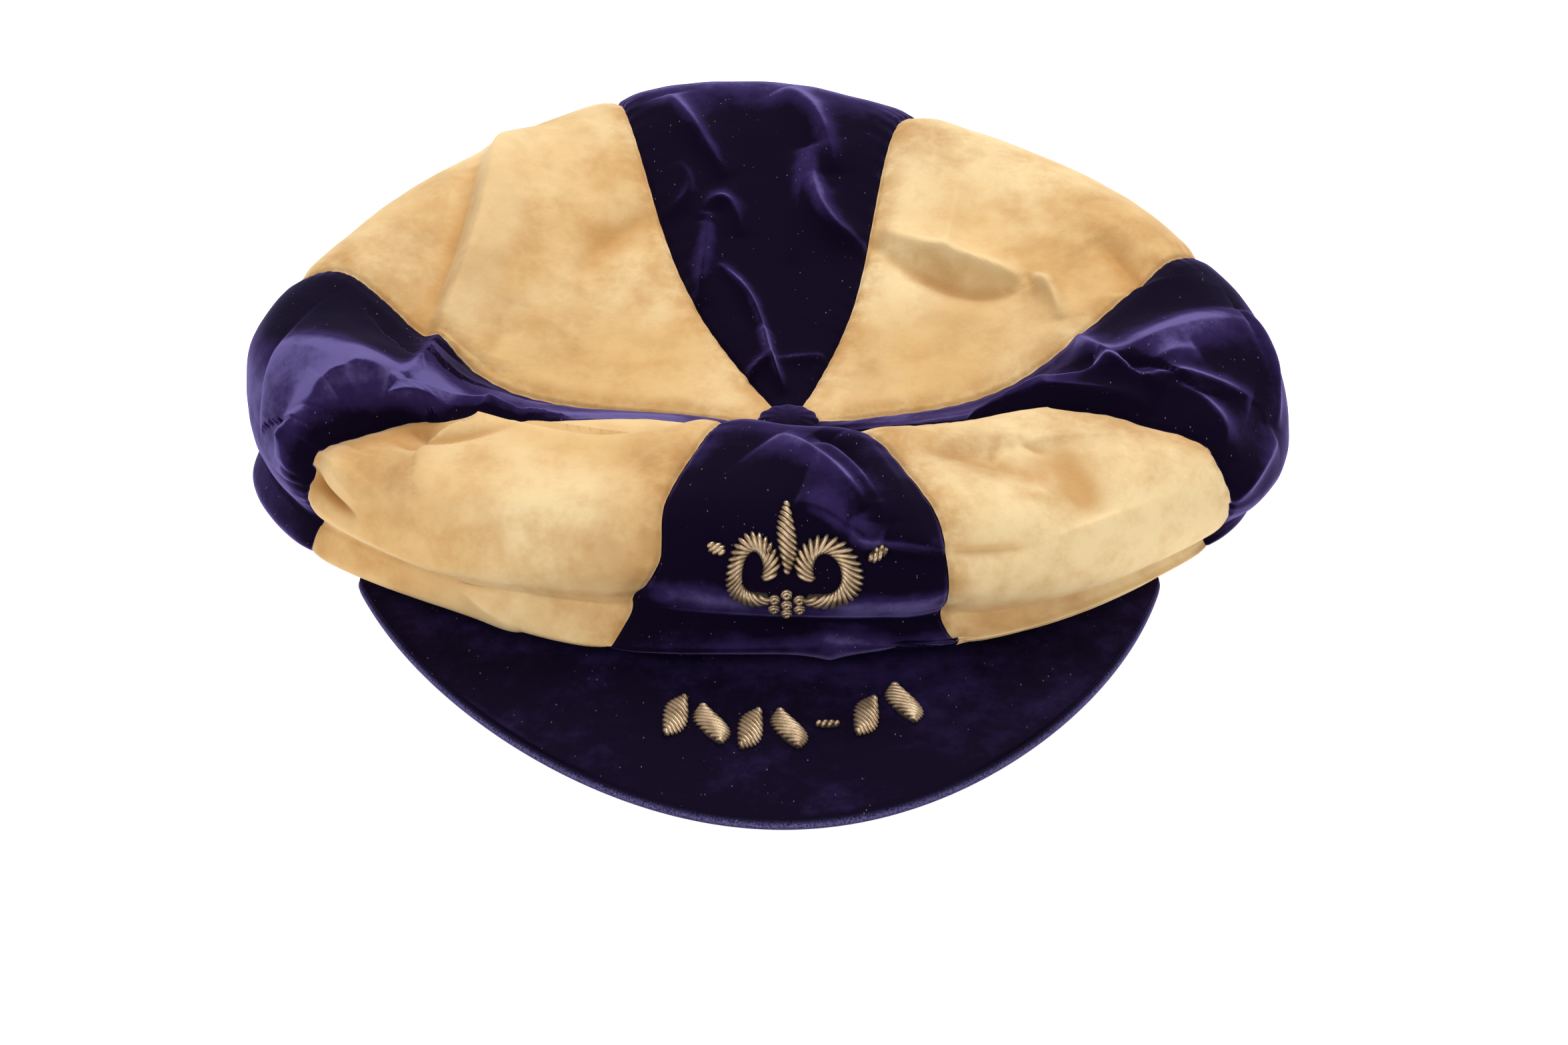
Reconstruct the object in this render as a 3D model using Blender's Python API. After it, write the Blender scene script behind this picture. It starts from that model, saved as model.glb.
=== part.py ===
"""A floppy eight-panel velvet honours cap with a wide peak, lying on its rim.

Metres, +Z up. The peak points to -Y, and the table is at z = 0.
"""
import math

import bmesh
import bpy
import numpy as np
from mathutils import Vector
from mathutils.bvhtree import BVHTree

# The head opening, an ellipse whose middle lies a little behind the crown's own origin
RIM_HALF_WIDTH = 0.092
RIM_HALF_LENGTH = 0.085
RIM_BACKWARD = 0.0035
RIM_LIFT = 0.009
RIM_TURN = 0.003
REST_DEG = 150.0
HEM = 0.006
SAG = 0.0006

# The crown
CROWN_REACH = 0.140
CROWN_HEIGHT = 0.060
CLOTH = 0.0015
HEM_CLOTH = 0.001
SEAM_GAP = 0.0003
SEAM_DEPTH = 0.0011
SEAM_WIDTH = 0.0045
HUB_FADE = 0.06
TUCK_GAP = 0.0016
CREASE_RISE = 0.0034
CREASE_WIDTH = 0.014

# The button at the middle of the crown
BUTTON_RIGHT = 0.006
BUTTON_FORWARD = 0.0205
BUTTON_HEIGHT = 0.028
BUTTON_RADIUS = 0.0075
BUTTON_THICK = 0.004
HUB_RADIUS = 0.005

# The peak, whose edge is a flattened half ellipse about a middle PEAK_ROOT in front of the origin;
# PEAK_LEAN moves its foremost point to the right
PEAK_HALF_WIDTH = 0.1055
PEAK_FRONT = 0.1492
PEAK_ROOT = 0.0035
PEAK_RIGHT = -0.004
PEAK_LEAN = 0.0088
PEAK_THICK = 0.003
PEAK_TAPER = 0.14
PEAK_END_DEG = 76.0
PEAK_FALL = 1.3
PEAK_TIP = 0.08
SEAT_GAP = 0.0003
LAP_GAP = 0.0008

# Goldwork
BADGE_WIDTH = 0.038
BADGE_HEIGHT = 0.033
BADGE_RELIEF = 0.0012
BAND_WIDTH = 0.0044
KNOT_RADIUS = 0.00135
SPRIG_LENGTH = 0.014
SPRIG_WIDTH = 0.0068
SPRIG_RELIEF = 0.0010
STITCH_GAP = 0.0006
LEAF_TIP = 0.08
SEARCH = 0.005
# The section of a raised band: places across as shares of its half width, heights as shares of its relief
BAND_SECTION = ((-1, 0), (-0.7, 0.75), (0, 1), (0.7, 0.75), (1, 0))

# Colour, roughness and metallic value of each material
FINISHES = {
    "purple_velvet": ((0.020, 0.009, 0.060, 1), 0.9, 0),
    "cream_velvet": ((0.78, 0.55, 0.30, 1), 0.9, 0),
    "bullion_wire": ((0.33, 0.22, 0.13, 1), 0.4, 0.8),
}

PANELS = ("front", "front_right", "right", "back_right", "back", "back_left", "left", "front_left")

# Each row is half a panel further round, from the middle of the front panel towards +X.
# Degrees are turned about the button, apart from the rim's, which are about the head opening;
# "out" is a share of CROWN_REACH and "up" a share of CROWN_HEIGHT.
COLUMNS = ("rim_deg", "dish_deg", "dish_out", "dish_up", "crest_deg", "crest_out", "crest_up",
           "bulge_deg", "bulge_out", "bulge_up", "tuck_deg", "tuck_out", "tuck_up", "roll_out", "roll_up")
SECTIONS = (
    (3, 0, 0.14, 0.52, 0, 0.29, 0.80, 0, 0.51, 0.52, 0, 0.485, 0.27, 0.535, 0.215),
    (26, 19, 0.16, 0.52, 30, 0.335, 0.79, 28.5, 0.56, 0.49, 29, 0.53, 0.25, 0.585, 0.21),
    (47, 48, 0.22, 0.58, 56, 0.43, 0.74, 53, 0.66, 0.46, 51, 0.61, 0.22, 0.64, 0.185),
    (69, 69, 0.30, 0.66, 77, 0.615, 0.73, 74, 0.80, 0.43, 76, 0.75, 0.21, 0.755, 0.145),
    (90, 80, 0.30, 0.60, 98, 0.775, 0.79, 93, 0.89, 0.46, 92, 0.855, 0.22, 0.82, 0.11),
    (111, 102.5, 0.38, 0.55, 115, 0.78, 0.865, 119, 0.885, 0.52, 118, 0.865, 0.22, 0.84, 0.10),
    (134, 132, 0.34, 0.60, 138, 0.80, 0.915, 138, 0.91, 0.53, 138, 0.89, 0.22, 0.86, 0.10),
    (157, 157.5, 0.30, 0.66, 164, 0.82, 1.00, 160, 0.935, 0.55, 161, 0.915, 0.22, 0.88, 0.10),
    (180, 184, 0.34, 0.68, 182, 0.88, 1.04, 182, 0.985, 0.56, 182, 0.955, 0.22, 0.92, 0.10),
    (203, 209, 0.37, 0.68, 201.3, 0.89, 1.03, 200.5, 1.00, 0.56, 200.5, 0.97, 0.22, 0.93, 0.10),
    (226, 234, 0.42, 0.61, 226, 0.86, 0.94, 225, 0.975, 0.52, 226, 0.945, 0.22, 0.91, 0.10),
    (249, 260, 0.48, 0.53, 249, 0.89, 0.82, 251, 0.985, 0.51, 250, 0.95, 0.22, 0.915, 0.10),
    (270, 272, 0.44, 0.58, 268, 0.83, 0.80, 264, 0.97, 0.53, 266, 0.935, 0.28, 0.965, 0.145),
    (292, 289, 0.43, 0.64, 280, 0.70, 0.73, 284, 0.865, 0.48, 283, 0.835, 0.285, 0.855, 0.145),
    (315, 300, 0.30, 0.62, 303, 0.50, 0.725, 304, 0.71, 0.46, 306, 0.66, 0.295, 0.67, 0.16),
    (339.5, 334, 0.16, 0.54, 331, 0.30, 0.80, 335.5, 0.525, 0.50, 330, 0.525, 0.27, 0.59, 0.19),
)

# The main dents and ridges: a bent line from start by mid to end, in panels round from the front
# and shares of the way from button to hem, with its rise as a share of CREASE_RISE and the width of
# its left and right flanks, seen from the start, as shares of CREASE_WIDTH.
CREASE_COLUMNS = ("from_round", "from_down", "mid_round", "mid_down", "to_round", "to_down",
                  "rise", "left", "right")
CREASES = (
    # the back left panel's long fold, and the dent beside it
    (4.78, 0.60, 5.16, 0.38, 5.55, 0.33, 0.9, 1.8, 0.6),
    (4.40, 0.36, 4.62, 0.32, 4.90, 0.28, -0.5, 0.9, 0.9),
    # the back right panel's pinch
    (3.55, 0.33, 3.10, 0.28, 2.72, 0.33, 1.0, 0.6, 0.6),
    # ridges of the back panel
    (4.34, 0.50, 4.18, 0.38, 4.06, 0.32, 0.7, 0.7, 0.7),
    (3.92, 0.52, 3.80, 0.40, 3.56, 0.31, 0.8, 0.6, 0.8),
    (4.26, 0.28, 4.16, 0.18, 4.20, 0.06, 0.5, 0.5, 0.5),
    # folds that meet on the right panel
    (2.15, 0.12, 2.42, 0.26, 2.12, 0.37, 1.1, 0.7, 0.9),
    (2.14, 0.35, 1.80, 0.42, 1.58, 0.62, 1.1, 0.7, 0.7),
    (1.90, 0.42, 1.78, 0.50, 1.76, 0.60, 0.8, 0.6, 0.8),
    (2.42, 0.34, 2.20, 0.42, 2.34, 0.54, 0.8, 0.9, 0.9),
    # folds of the left panel
    (6.42, 0.53, 6.16, 0.40, 5.98, 0.34, 1.0, 0.7, 0.7),
    (6.22, 0.46, 6.42, 0.58, 6.42, 0.72, 1.0, 0.6, 0.8),
    (5.88, 0.62, 6.08, 0.46, 6.14, 0.38, 0.8, 1.0, 0.8),
    # folds above and beside the badge
    (0.02, 0.42, 0.24, 0.50, 0.30, 0.62, -0.7, 0.5, 0.5),
    (0.06, 0.56, 0.20, 0.63, 0.44, 0.65, 0.6, 0.7, 0.5),
    (7.72, 0.50, 7.70, 0.60, 7.64, 0.70, 0.6, 0.6, 0.6),
    # dents of the front right panel
    (0.84, 0.44, 0.92, 0.54, 1.04, 0.64, -1.1, 1.3, 1.1),
    (0.50, 0.67, 0.62, 0.67, 0.78, 0.66, -0.4, 0.5, 0.5),
    # dents of the front left panel
    (6.56, 0.50, 6.66, 0.54, 6.84, 0.52, -0.8, 0.8, 0.6),
    (6.52, 0.66, 6.66, 0.70, 6.86, 0.72, -0.6, 0.6, 0.6),
)
CREASE_STEPS = 40
CREASE_REACH = 0.12

CREST_KNOT = 2
LIP_KNOT = 5
EDGE_KNOT = 6
ROLL_KNOT = 9

# A panel's mesh: its columns as shares of its width, and the steps between neighbouring knots
COLUMN_PLACES = (0, 0.07, 0.2, 0.35, 0.5, 0.65, 0.8, 0.93, 1)
ROW_STEPS = (4, 5, 2, 3, 2, 1, 1, 1, 1, 3, 2, 1, 1, 1)
PEAK_STATIONS = 32
PEAK_ROWS = 5

# The badge, in shares of its width and height from its middle: two volutes back to back, a tall
# leaf between them, a small leaf at each side and a cluster of knots at its foot.
# Its place is in panels round from the front, and its lowest knot stands clear of the crown's lip.
# A volute turns round its own middle by degrees from +X, its radius shrinking on the way,
# and is stretched upward by tall.
BADGE_ROUND = -0.005
BADGE_LIP_GAP = 0.0006
BADGE_STEPS = 60
VOLUTE = {"start_up": -0.2205, "from_deg": -125, "to_deg": 200, "radius": 0.17, "end_radius": 0.11,
          "tall": 1.25, "steps": 16}
LEAF_COLUMNS = ("node", "right", "up", "turn_deg", "length", "width")
BADGE_LEAVES = (
    ("badge_leaf", 0.0, 0.21, 90, 0.42, 0.127),
    ("badge_leaf_left", -0.51, 0.12, 155, 0.12, 0.08),
    ("badge_leaf_right", 0.51, 0.12, 25, 0.12, 0.08),
)
KNOT_RING = 6
KNOT_PITCH = 0.0032
KNOT_FOOT = -0.30
SCROLL_GAP = 0.00035

# Six leaves and a bar along an arc of the peak, where right is a share of SPRIG_SPAN
SPRIG_SPAN = 0.052
SPRIG_MIDDLE = 0.002
SPRIG_LINE = 0.1175
SPRIG_SAG = 0.0074
SPRIG_COLUMNS = ("node", "right", "turn_deg")
SPRIGS = (
    ("peak_sprig_1", -0.42, 72),
    ("peak_sprig_2", -0.26, 108),
    ("peak_sprig_3", -0.09, 72),
    ("peak_sprig_4", 0.08, 108),
    ("peak_sprig_5", 0.42, 72),
    ("peak_sprig_6", 0.59, 108),
)
BAR_RIGHT = 0.25
BAR_LENGTH = 0.0055
BAR_WIDTH = 0.0016


def rim_point(deg):
    """The head opening's edge, at an angle round from the front."""
    turn = math.radians(deg)
    return RIM_HALF_WIDTH * math.sin(turn), RIM_BACKWARD - RIM_HALF_LENGTH * math.cos(turn)


def rim_height(deg):
    """How high the crown's lowest cloth lies: on the peak in front, on the table behind."""
    side = min(deg % 360, -deg % 360, REST_DEG) / REST_DEG
    return RIM_LIFT * 0.5 * (1 + math.cos(math.pi * side))


def peak_section(turn):
    """One cut through the peak at turn from -1 to 1 across it: its top edge points from crown to front."""
    deg = PEAK_END_DEG * turn
    inner = np.array(rim_point(deg))
    rad = math.radians(deg)
    wide = PEAK_HALF_WIDTH * math.sin(rad) * (1 - PEAK_TAPER * math.cos(rad)**2)
    outer = np.array((PEAK_RIGHT + wide + PEAK_LEAN * math.cos(rad),
                      -PEAK_ROOT - (PEAK_FRONT - PEAK_ROOT) * math.cos(rad)))
    tip = min(1, (1 - abs(turn)) / PEAK_TIP)
    outer = inner + (outer - inner) * (PEAK_TIP + (1 - PEAK_TIP) * tip * tip * (3 - 2 * tip))
    root = rim_height(deg) - LAP_GAP
    share = np.linspace(0, 1, PEAK_ROWS + 1)
    plan = inner + (outer - inner) * share[:, None]
    return np.column_stack((plan, PEAK_THICK + (root - PEAK_THICK) * (1 - share)**PEAK_FALL))


def rest_height(deg, out):
    """The height of what lies under the crown, at a distance out from the head opening's edge."""
    if min(deg % 360, -deg % 360) > PEAK_END_DEG:
        return 0
    section = peak_section(((deg + 180) % 360 - 180) / PEAK_END_DEG)
    reach = np.linalg.norm(section[:, :2] - section[0, :2], axis=1)
    return np.interp(out, reach, section[:, 2]) + LAP_GAP


def polar(point, near):
    """Distance and degrees of a plan point round the button, the degrees within half a turn of near."""
    right, front = point[0] - BUTTON_RIGHT, -BUTTON_FORWARD - point[1]
    deg = math.degrees(math.atan2(right, front))
    return math.hypot(right, front), near + (deg - near + 180) % 360 - 180


def section_points(index, row):
    """The knots of one section as (distance out, height, degrees), from the button to the hem."""
    c = dict(zip(COLUMNS, row))
    out = {k: c[k + "_out"] * CROWN_REACH for k in ("dish", "crest", "bulge", "tuck", "roll")}
    up = {k: c[k + "_up"] * CROWN_HEIGHT for k in ("dish", "crest", "bulge", "tuck", "roll")}
    rim_out, rim_deg = polar(rim_point(c["rim_deg"]), c["tuck_deg"])
    level = rim_height(c["rim_deg"])
    sag = SAG * (1 - level / RIM_LIFT)
    under_out = 0.45 * (rim_out + RIM_TURN) + 0.55 * out["roll"]
    lip_up = up["tuck"] + TUCK_GAP
    quarter = math.sqrt(0.5)
    return (
        (HUB_RADIUS, BUTTON_HEIGHT, index * 180 / len(PANELS)),
        (out["dish"], up["dish"], c["dish_deg"]),
        (out["crest"], up["crest"], c["crest_deg"]),
        (out["crest"] + quarter * (out["bulge"] - out["crest"]),
         up["bulge"] + quarter * (up["crest"] - up["bulge"]), (c["crest_deg"] + c["bulge_deg"]) / 2),
        (out["bulge"], up["bulge"], c["bulge_deg"]),
        (0.9 * out["bulge"] + 0.1 * out["tuck"], 0.65 * lip_up + 0.35 * up["bulge"],
         (c["bulge_deg"] + c["tuck_deg"]) / 2),
        (0.7 * out["tuck"] + 0.3 * out["bulge"], lip_up, c["tuck_deg"]),
        (out["tuck"], up["tuck"], c["tuck_deg"]),
        (0.7 * out["tuck"] + 0.3 * out["roll"], up["tuck"] - TUCK_GAP, c["tuck_deg"]),
        (out["roll"], up["roll"], c["tuck_deg"]),
        (under_out, rest_height(c["rim_deg"], under_out - rim_out) - sag, (c["tuck_deg"] + rim_deg) / 2),
        (rim_out + RIM_TURN, level - sag, rim_deg),
        (rim_out + (1 - quarter) * RIM_TURN, level + (1 - quarter) * RIM_TURN, rim_deg),
        (rim_out, level + RIM_TURN, rim_deg),
        (rim_out, level + HEM, rim_deg),
    )


def section_net():
    """Every section's knots as XYZ: [section, knot, 3]."""
    net = []
    for index, row in enumerate(SECTIONS):
        line = []
        for distance, height, deg in section_points(index, row):
            turn = math.radians(deg)
            line.append((BUTTON_RIGHT + distance * math.sin(turn),
                         -BUTTON_FORWARD - distance * math.cos(turn), height))
        net.append(line)
    return np.array(net)


NET = section_net()
SPANS = np.linalg.norm(np.diff(NET, axis=1), axis=2).mean(axis=0)
KNOTS = np.concatenate(([0], np.cumsum(SPANS))) / SPANS.sum()


def around(round_at):
    """Knots of the sections that stand at panel coordinates round_at, by a closed smooth curve."""
    place = np.asarray(round_at, float) * 2
    first = np.floor(place).astype(int)
    f = (place - first)[:, None, None]
    a, b, c, d = (NET[(first + step) % len(NET)] for step in (-1, 0, 1, 2))
    return b + 0.5 * f * (c - a + f * (2 * a - 5 * b + 4 * c - d + f * (3 * (b - c) + d - a)))


def along(knots, down):
    """Points at shares down of the way through each row of knots, by a smooth cubic curve."""
    step = np.diff(KNOTS)
    slope = np.diff(knots, axis=1) / step[None, :, None]
    weight = (step[1:] / (step[1:] + step[:-1]))[None, :, None]
    tangent = np.empty_like(knots)
    tangent[:, 1:-1] = weight * slope[:, :-1] + (1 - weight) * slope[:, 1:]
    tangent[:, 0] = slope[:, 0]
    tangent[:, -1] = slope[:, -1]
    at = np.clip(np.searchsorted(KNOTS, down, side="right") - 1, 0, len(step) - 1)
    x = ((down - KNOTS[at]) / step[at])[None, :, None]
    length = step[at][None, :, None]
    return ((2 * x**3 - 3 * x**2 + 1) * knots[:, at] + (x**3 - 2 * x**2 + x) * length * tangent[:, at]
            + (3 * x**2 - 2 * x**3) * knots[:, at + 1] + (x**3 - x**2) * length * tangent[:, at + 1])


def smooth_surface(round_at, down):
    """The crown before its seams and creases: [len(round_at), len(down), 3]."""
    return along(around(round_at), np.asarray(down, float))


def slopes(round_at, down):
    """The smooth surface's change per panel round and per share down."""
    small = 1e-4
    round_at, down = np.asarray(round_at, float), np.asarray(down, float)
    across = (smooth_surface(round_at + small, down) - smooth_surface(round_at - small, down)) / (2 * small)
    above, below = np.clip(down - small, 0, 1), np.clip(down + small, 0, 1)
    fall = smooth_surface(round_at, below) - smooth_surface(round_at, above)
    return across, fall / (below - above)[None, :, None]


def unit(vectors):
    return vectors / np.linalg.norm(vectors, axis=-1, keepdims=True)


def crease_line(crease):
    """A crease's points on the smooth surface, its unit vectors to the left, and its places down."""
    t = np.linspace(0, 1, CREASE_STEPS)
    shares = {"from": (1 - t)**2, "mid": 2 * t * (1 - t), "to": t**2}
    round_at = sum(share * crease[end + "_round"] for end, share in shares.items())
    down = sum(share * crease[end + "_down"] for end, share in shares.items())
    each = np.arange(CREASE_STEPS)
    across, fall = (slope[each, each] for slope in slopes(round_at, down))
    points = smooth_surface(round_at, down)[each, each]
    left = np.cross(np.cross(fall, across), np.gradient(points, axis=0))
    return points, unit(left), down


def crease_rise(points, down):
    """How far the creases lift each point of a grid off the smooth surface."""
    rise = np.zeros(points.shape[:2])
    for row in CREASES:
        crease = dict(zip(CREASE_COLUMNS, row))
        line, left, line_down = crease_line(crease)
        apart = points[:, :, None] - line
        distance = np.linalg.norm(apart, axis=3)
        nearest = distance.argmin(axis=2)
        side = np.take_along_axis((apart * left).sum(axis=3), nearest[:, :, None], axis=2)[:, :, 0]
        width = CREASE_WIDTH * np.where(side > 0, crease["left"], crease["right"])
        fade = np.sin(np.pi * (nearest + 0.5) / CREASE_STEPS)
        same_layer = np.abs(down[None, :] - line_down[nearest]) < CREASE_REACH
        rise += crease["rise"] * CREASE_RISE * fade * same_layer * np.exp(-(distance.min(axis=2) / width)**2)
    return rise


def cloth(round_at, down):
    """The crown's outer and inner face at each panel coordinate and share down."""
    smooth = smooth_surface(round_at, down)
    across, fall = slopes(round_at, down)
    out = unit(np.cross(fall, across))
    to_seam = 0.5 - np.abs(round_at - np.round(round_at))
    seam_distance = np.linalg.norm(across, axis=2) * to_seam[:, None]
    pull = SEAM_DEPTH * np.interp(down, (0, HUB_FADE, KNOTS[LIP_KNOT], KNOTS[ROLL_KNOT]), (0, 1, 1, 0))
    rise = crease_rise(smooth, down) - pull * np.exp(-(seam_distance / SEAM_WIDTH)**2)
    outer = smooth + out * rise[:, :, None]
    outer[:, :, 2] = np.maximum(outer[:, :, 2], 0)
    thickness = np.interp(down, (KNOTS[LIP_KNOT], KNOTS[ROLL_KNOT]), (CLOTH, HEM_CLOTH))
    return outer, outer - out * thickness[None, :, None]


def row_places():
    """The shares down at which the CAD mesh has its rows."""
    places = [np.linspace(start, end, steps, endpoint=False)
              for start, end, steps in zip(KNOTS[:-1], KNOTS[1:], ROW_STEPS)]
    return np.append(np.concatenate(places), 1)


def lofted(vertices, faces):
    """A closed mesh from a loft's points and faces, turned outward."""
    bm = bmesh.new()
    corners = [bm.verts.new(point) for point in vertices]
    for face in faces:
        bm.faces.new([corners[index] for index in face])
    if bm.calc_volume(signed=True) < 0:
        bmesh.ops.reverse_faces(bm, faces=bm.faces)
    return bm


def new_object(name, bm, color):
    """A mesh object of the cap, with its own material."""
    mesh = bpy.data.meshes.new(name)
    bm.to_mesh(mesh)
    bm.free()
    obj = bpy.data.objects.new(name, mesh)
    mesh.materials.append(MATERIALS[color])
    PARTS.objects.link(obj)
    obj.parent = CAP
    return obj


def grid_triangles(columns, rows, first=0):
    """Triangles over a grid of vertices that runs row by row within each column."""
    faces = []
    for i in range(columns - 1):
        for j in range(rows - 1):
            a = first + i * rows + j
            faces += [(a, a + rows, a + rows + 1), (a, a + rows + 1, a + 1)]
    return faces


def shell(name, outer, inner, color):
    """A closed wall between two grids of the same size."""
    columns, rows = outer.shape[:2]
    count = columns * rows
    faces = grid_triangles(columns, rows) + [face[::-1] for face in grid_triangles(columns, rows, count)]
    border = [(i, 0) for i in range(columns)]
    border += [(columns - 1, j) for j in range(1, rows)]
    border += [(i, rows - 1) for i in range(columns - 2, -1, -1)]
    border += [(0, j) for j in range(rows - 2, 0, -1)]
    edge = [i * rows + j for i, j in border]
    for here, there in zip(edge, edge[1:] + edge[:1]):
        # neighbouring panels split their touching side walls along the same diagonal
        if here > there:
            faces += [(here, here + count, there + count), (here, there + count, there)]
        else:
            faces += [(there, here, here + count), (there, here + count, there + count)]
    points = np.concatenate((outer.reshape(-1, 3), inner.reshape(-1, 3)))
    return new_object(name, lofted(points, faces), color)


def crown_panel(index):
    """One sewn panel of the crown, from the button to the hem."""
    round_at = index - 0.5 + np.array(COLUMN_PLACES)
    faces = cloth(round_at, row_places())
    for face in faces:
        for edge, inward in ((0, 1), (-1, -2)):
            face[edge] += unit(face[inward] - face[edge]) * SEAM_GAP / 2
    color = "purple_velvet" if index % 2 == 0 else "cream_velvet"
    return shell("crown_panel_" + PANELS[index], *faces, color)


def crown_button():
    """The covered button, a flattened ball sunk a little into the hub."""
    lift = BUTTON_THICK / 2 * math.sqrt(1 - (HUB_RADIUS / BUTTON_RADIUS)**2)
    bm = bmesh.new()
    bmesh.ops.create_uvsphere(bm, u_segments=16, v_segments=8, radius=1)
    bmesh.ops.scale(bm, vec=(BUTTON_RADIUS, BUTTON_RADIUS, BUTTON_THICK / 2), verts=bm.verts)
    button = new_object("crown_button", bm, "purple_velvet")
    button.location = (BUTTON_RIGHT, -BUTTON_FORWARD, BUTTON_HEIGHT + SEAT_GAP + lift)


def peak():
    """The stiff velvet-covered peak, with a rounded front edge that lies on the table."""
    loops = []
    for turn in np.linspace(-1, 1, PEAK_STATIONS + 1):
        top = peak_section(turn)
        forward = unit(top[-1] - top[-2])
        half = PEAK_THICK / 2
        flat = unit(np.array((forward[0], forward[1], 0)))
        top[-1] -= flat * half
        edge = [top[-1] + (0, 0, -half) + flat * half * math.sin(a) + np.array((0, 0, half * math.cos(a)))
                for a in np.linspace(math.pi / 4, 3 * math.pi / 4, 3)]
        bottom = top[::-1] - (0, 0, PEAK_THICK)
        loops.append(np.concatenate((top, edge, bottom)))
    count = len(loops[0])
    faces = []
    for i in range(PEAK_STATIONS):
        for j in range(count):
            a, b = i * count + j, i * count + (j + 1) % count
            faces += [(a, b, b + count), (a, b + count, a + count)]
    last = PEAK_STATIONS * count
    for j in range(PEAK_ROWS):
        top_near, top_far, low_far, low_near = j, j + 1, count - 2 - j, count - 1 - j
        for end in ((top_near, low_far, top_far), (top_near, low_near, low_far)):
            faces += [end, tuple(last + corner for corner in end[::-1])]
    rim = tuple(range(PEAK_ROWS, PEAK_ROWS + 5))
    faces += [rim[::-1], tuple(last + corner for corner in rim)]
    return new_object("peak", lofted(np.concatenate(loops), faces), "purple_velvet")


def facets(obj):
    """A tree of an object's own faces, for seating the goldwork on them."""
    bm = bmesh.new()
    bm.from_mesh(obj.data)
    tree = BVHTree.FromBMesh(bm)
    bm.free()
    return tree


def badge_seat(panel):
    """A function that gives the point and outward direction on the panel under a place in the badge."""
    tree = facets(panel)
    down_at = np.linspace(KNOTS[EDGE_KNOT], KNOTS[CREST_KNOT], BADGE_STEPS)
    line = smooth_surface([BADGE_ROUND], down_at)[0]
    climbed = np.append(0, np.cumsum(np.linalg.norm(np.diff(line, axis=0), axis=1)))
    middle = BADGE_LIP_GAP + KNOT_RADIUS + KNOT_PITCH - KNOT_FOOT * BADGE_HEIGHT
    per_round = np.linalg.norm(slopes([BADGE_ROUND], [np.interp(middle, climbed, down_at)])[0])

    def seat(right, up):
        round_at, down = [BADGE_ROUND + right / per_round], [np.interp(middle + up, climbed, down_at)]
        point = smooth_surface(round_at, down)[0, 0]
        out = unit(np.cross(*slopes(round_at, down)[::-1]))[0, 0]
        hit = tree.ray_cast(Vector(point + out * SEARCH), Vector(-out))[0]
        return (point if hit is None else np.array(hit)), out
    return seat


def peak_seat(obj):
    """A function that gives the point and outward direction on the peak's top under a plan place."""
    tree = facets(obj)

    def seat(right, back):
        hit, normal = tree.ray_cast(Vector((right, back, RIM_LIFT + SEARCH)), Vector((0, 0, -1)))[:2]
        return np.array(hit), np.array(normal)
    return seat


def goldwork(name, seat, path, widths, relief):
    """A raised band along a path of flat places, seated by seat, with a domed section."""
    path = np.array(path, float)
    side = unit(np.gradient(path, axis=0)) @ np.array(((0, 1), (-1, 0)))
    vertices = []
    for place, across, width in zip(path, side, widths):
        for share, height in BAND_SECTION:
            point, out = seat(*(place + across * width / 2 * share))
            vertices.append(point + out * (STITCH_GAP + relief * height))
    count = len(BAND_SECTION)
    last = count * (len(path) - 1)
    faces = [tuple(range(count)), tuple(range(last + count - 1, last - 1, -1))]
    for i in range(len(path) - 1):
        for j in range(count):
            a, b = i * count + j, i * count + (j + 1) % count
            faces += [(a, a + count, b + count), (a, b + count, b)]
    return new_object(name, lofted(vertices, faces), "bullion_wire")


def leaf(name, seat, middle, turn_deg, length, width, relief, steps=8):
    """A pointed leaf about its middle."""
    t = np.linspace(-1, 1, steps + 1)
    turn = math.radians(turn_deg)
    path = np.array(middle) + np.outer(t * length / 2, (math.cos(turn), math.sin(turn)))
    return goldwork(name, seat, path, width * (LEAF_TIP + (1 - LEAF_TIP) * np.cos(t * math.pi / 2)), relief)


def badge(panel):
    seat = badge_seat(panel)
    turns = np.radians(np.linspace(VOLUTE["from_deg"], VOLUTE["to_deg"], VOLUTE["steps"] + 1))
    radii = np.linspace(VOLUTE["radius"], VOLUTE["end_radius"], VOLUTE["steps"] + 1) * BADGE_WIDTH
    widths = BAND_WIDTH * np.clip(4 * np.sin(np.linspace(0.1, math.pi - 0.1, VOLUTE["steps"] + 1)), 0, 1)
    circle = np.column_stack((np.cos(turns), VOLUTE["tall"] * np.sin(turns)))
    start = np.array((KNOT_PITCH * math.cos(math.pi / KNOT_RING) + KNOT_RADIUS + SCROLL_GAP,
                      VOLUTE["start_up"] * BADGE_HEIGHT))
    path = start + radii[:, None] * circle - radii[0] * circle[0]
    for side, word in ((-1, "left"), (1, "right")):
        goldwork("badge_scroll_" + word, seat, path * (side, 1), widths, BADGE_RELIEF)
    for row in BADGE_LEAVES:
        it = dict(zip(LEAF_COLUMNS, row))
        leaf(it["node"], seat, (it["right"] * BADGE_WIDTH, it["up"] * BADGE_HEIGHT), it["turn_deg"],
             it["length"] * BADGE_WIDTH, it["width"] * BADGE_WIDTH, BADGE_RELIEF)
    foot = np.array((0, KNOT_FOOT * BADGE_HEIGHT))
    places = [foot] + [foot + KNOT_PITCH * np.array((math.cos(a), math.sin(a)))
                       for a in (np.arange(KNOT_RING) + 0.5) * 2 * math.pi / KNOT_RING]
    for number, place in enumerate(places, 1):
        leaf(f"badge_knot_{number}", seat, place, 0, 2 * KNOT_RADIUS, 2 * KNOT_RADIUS, BADGE_RELIEF, steps=4)


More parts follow.
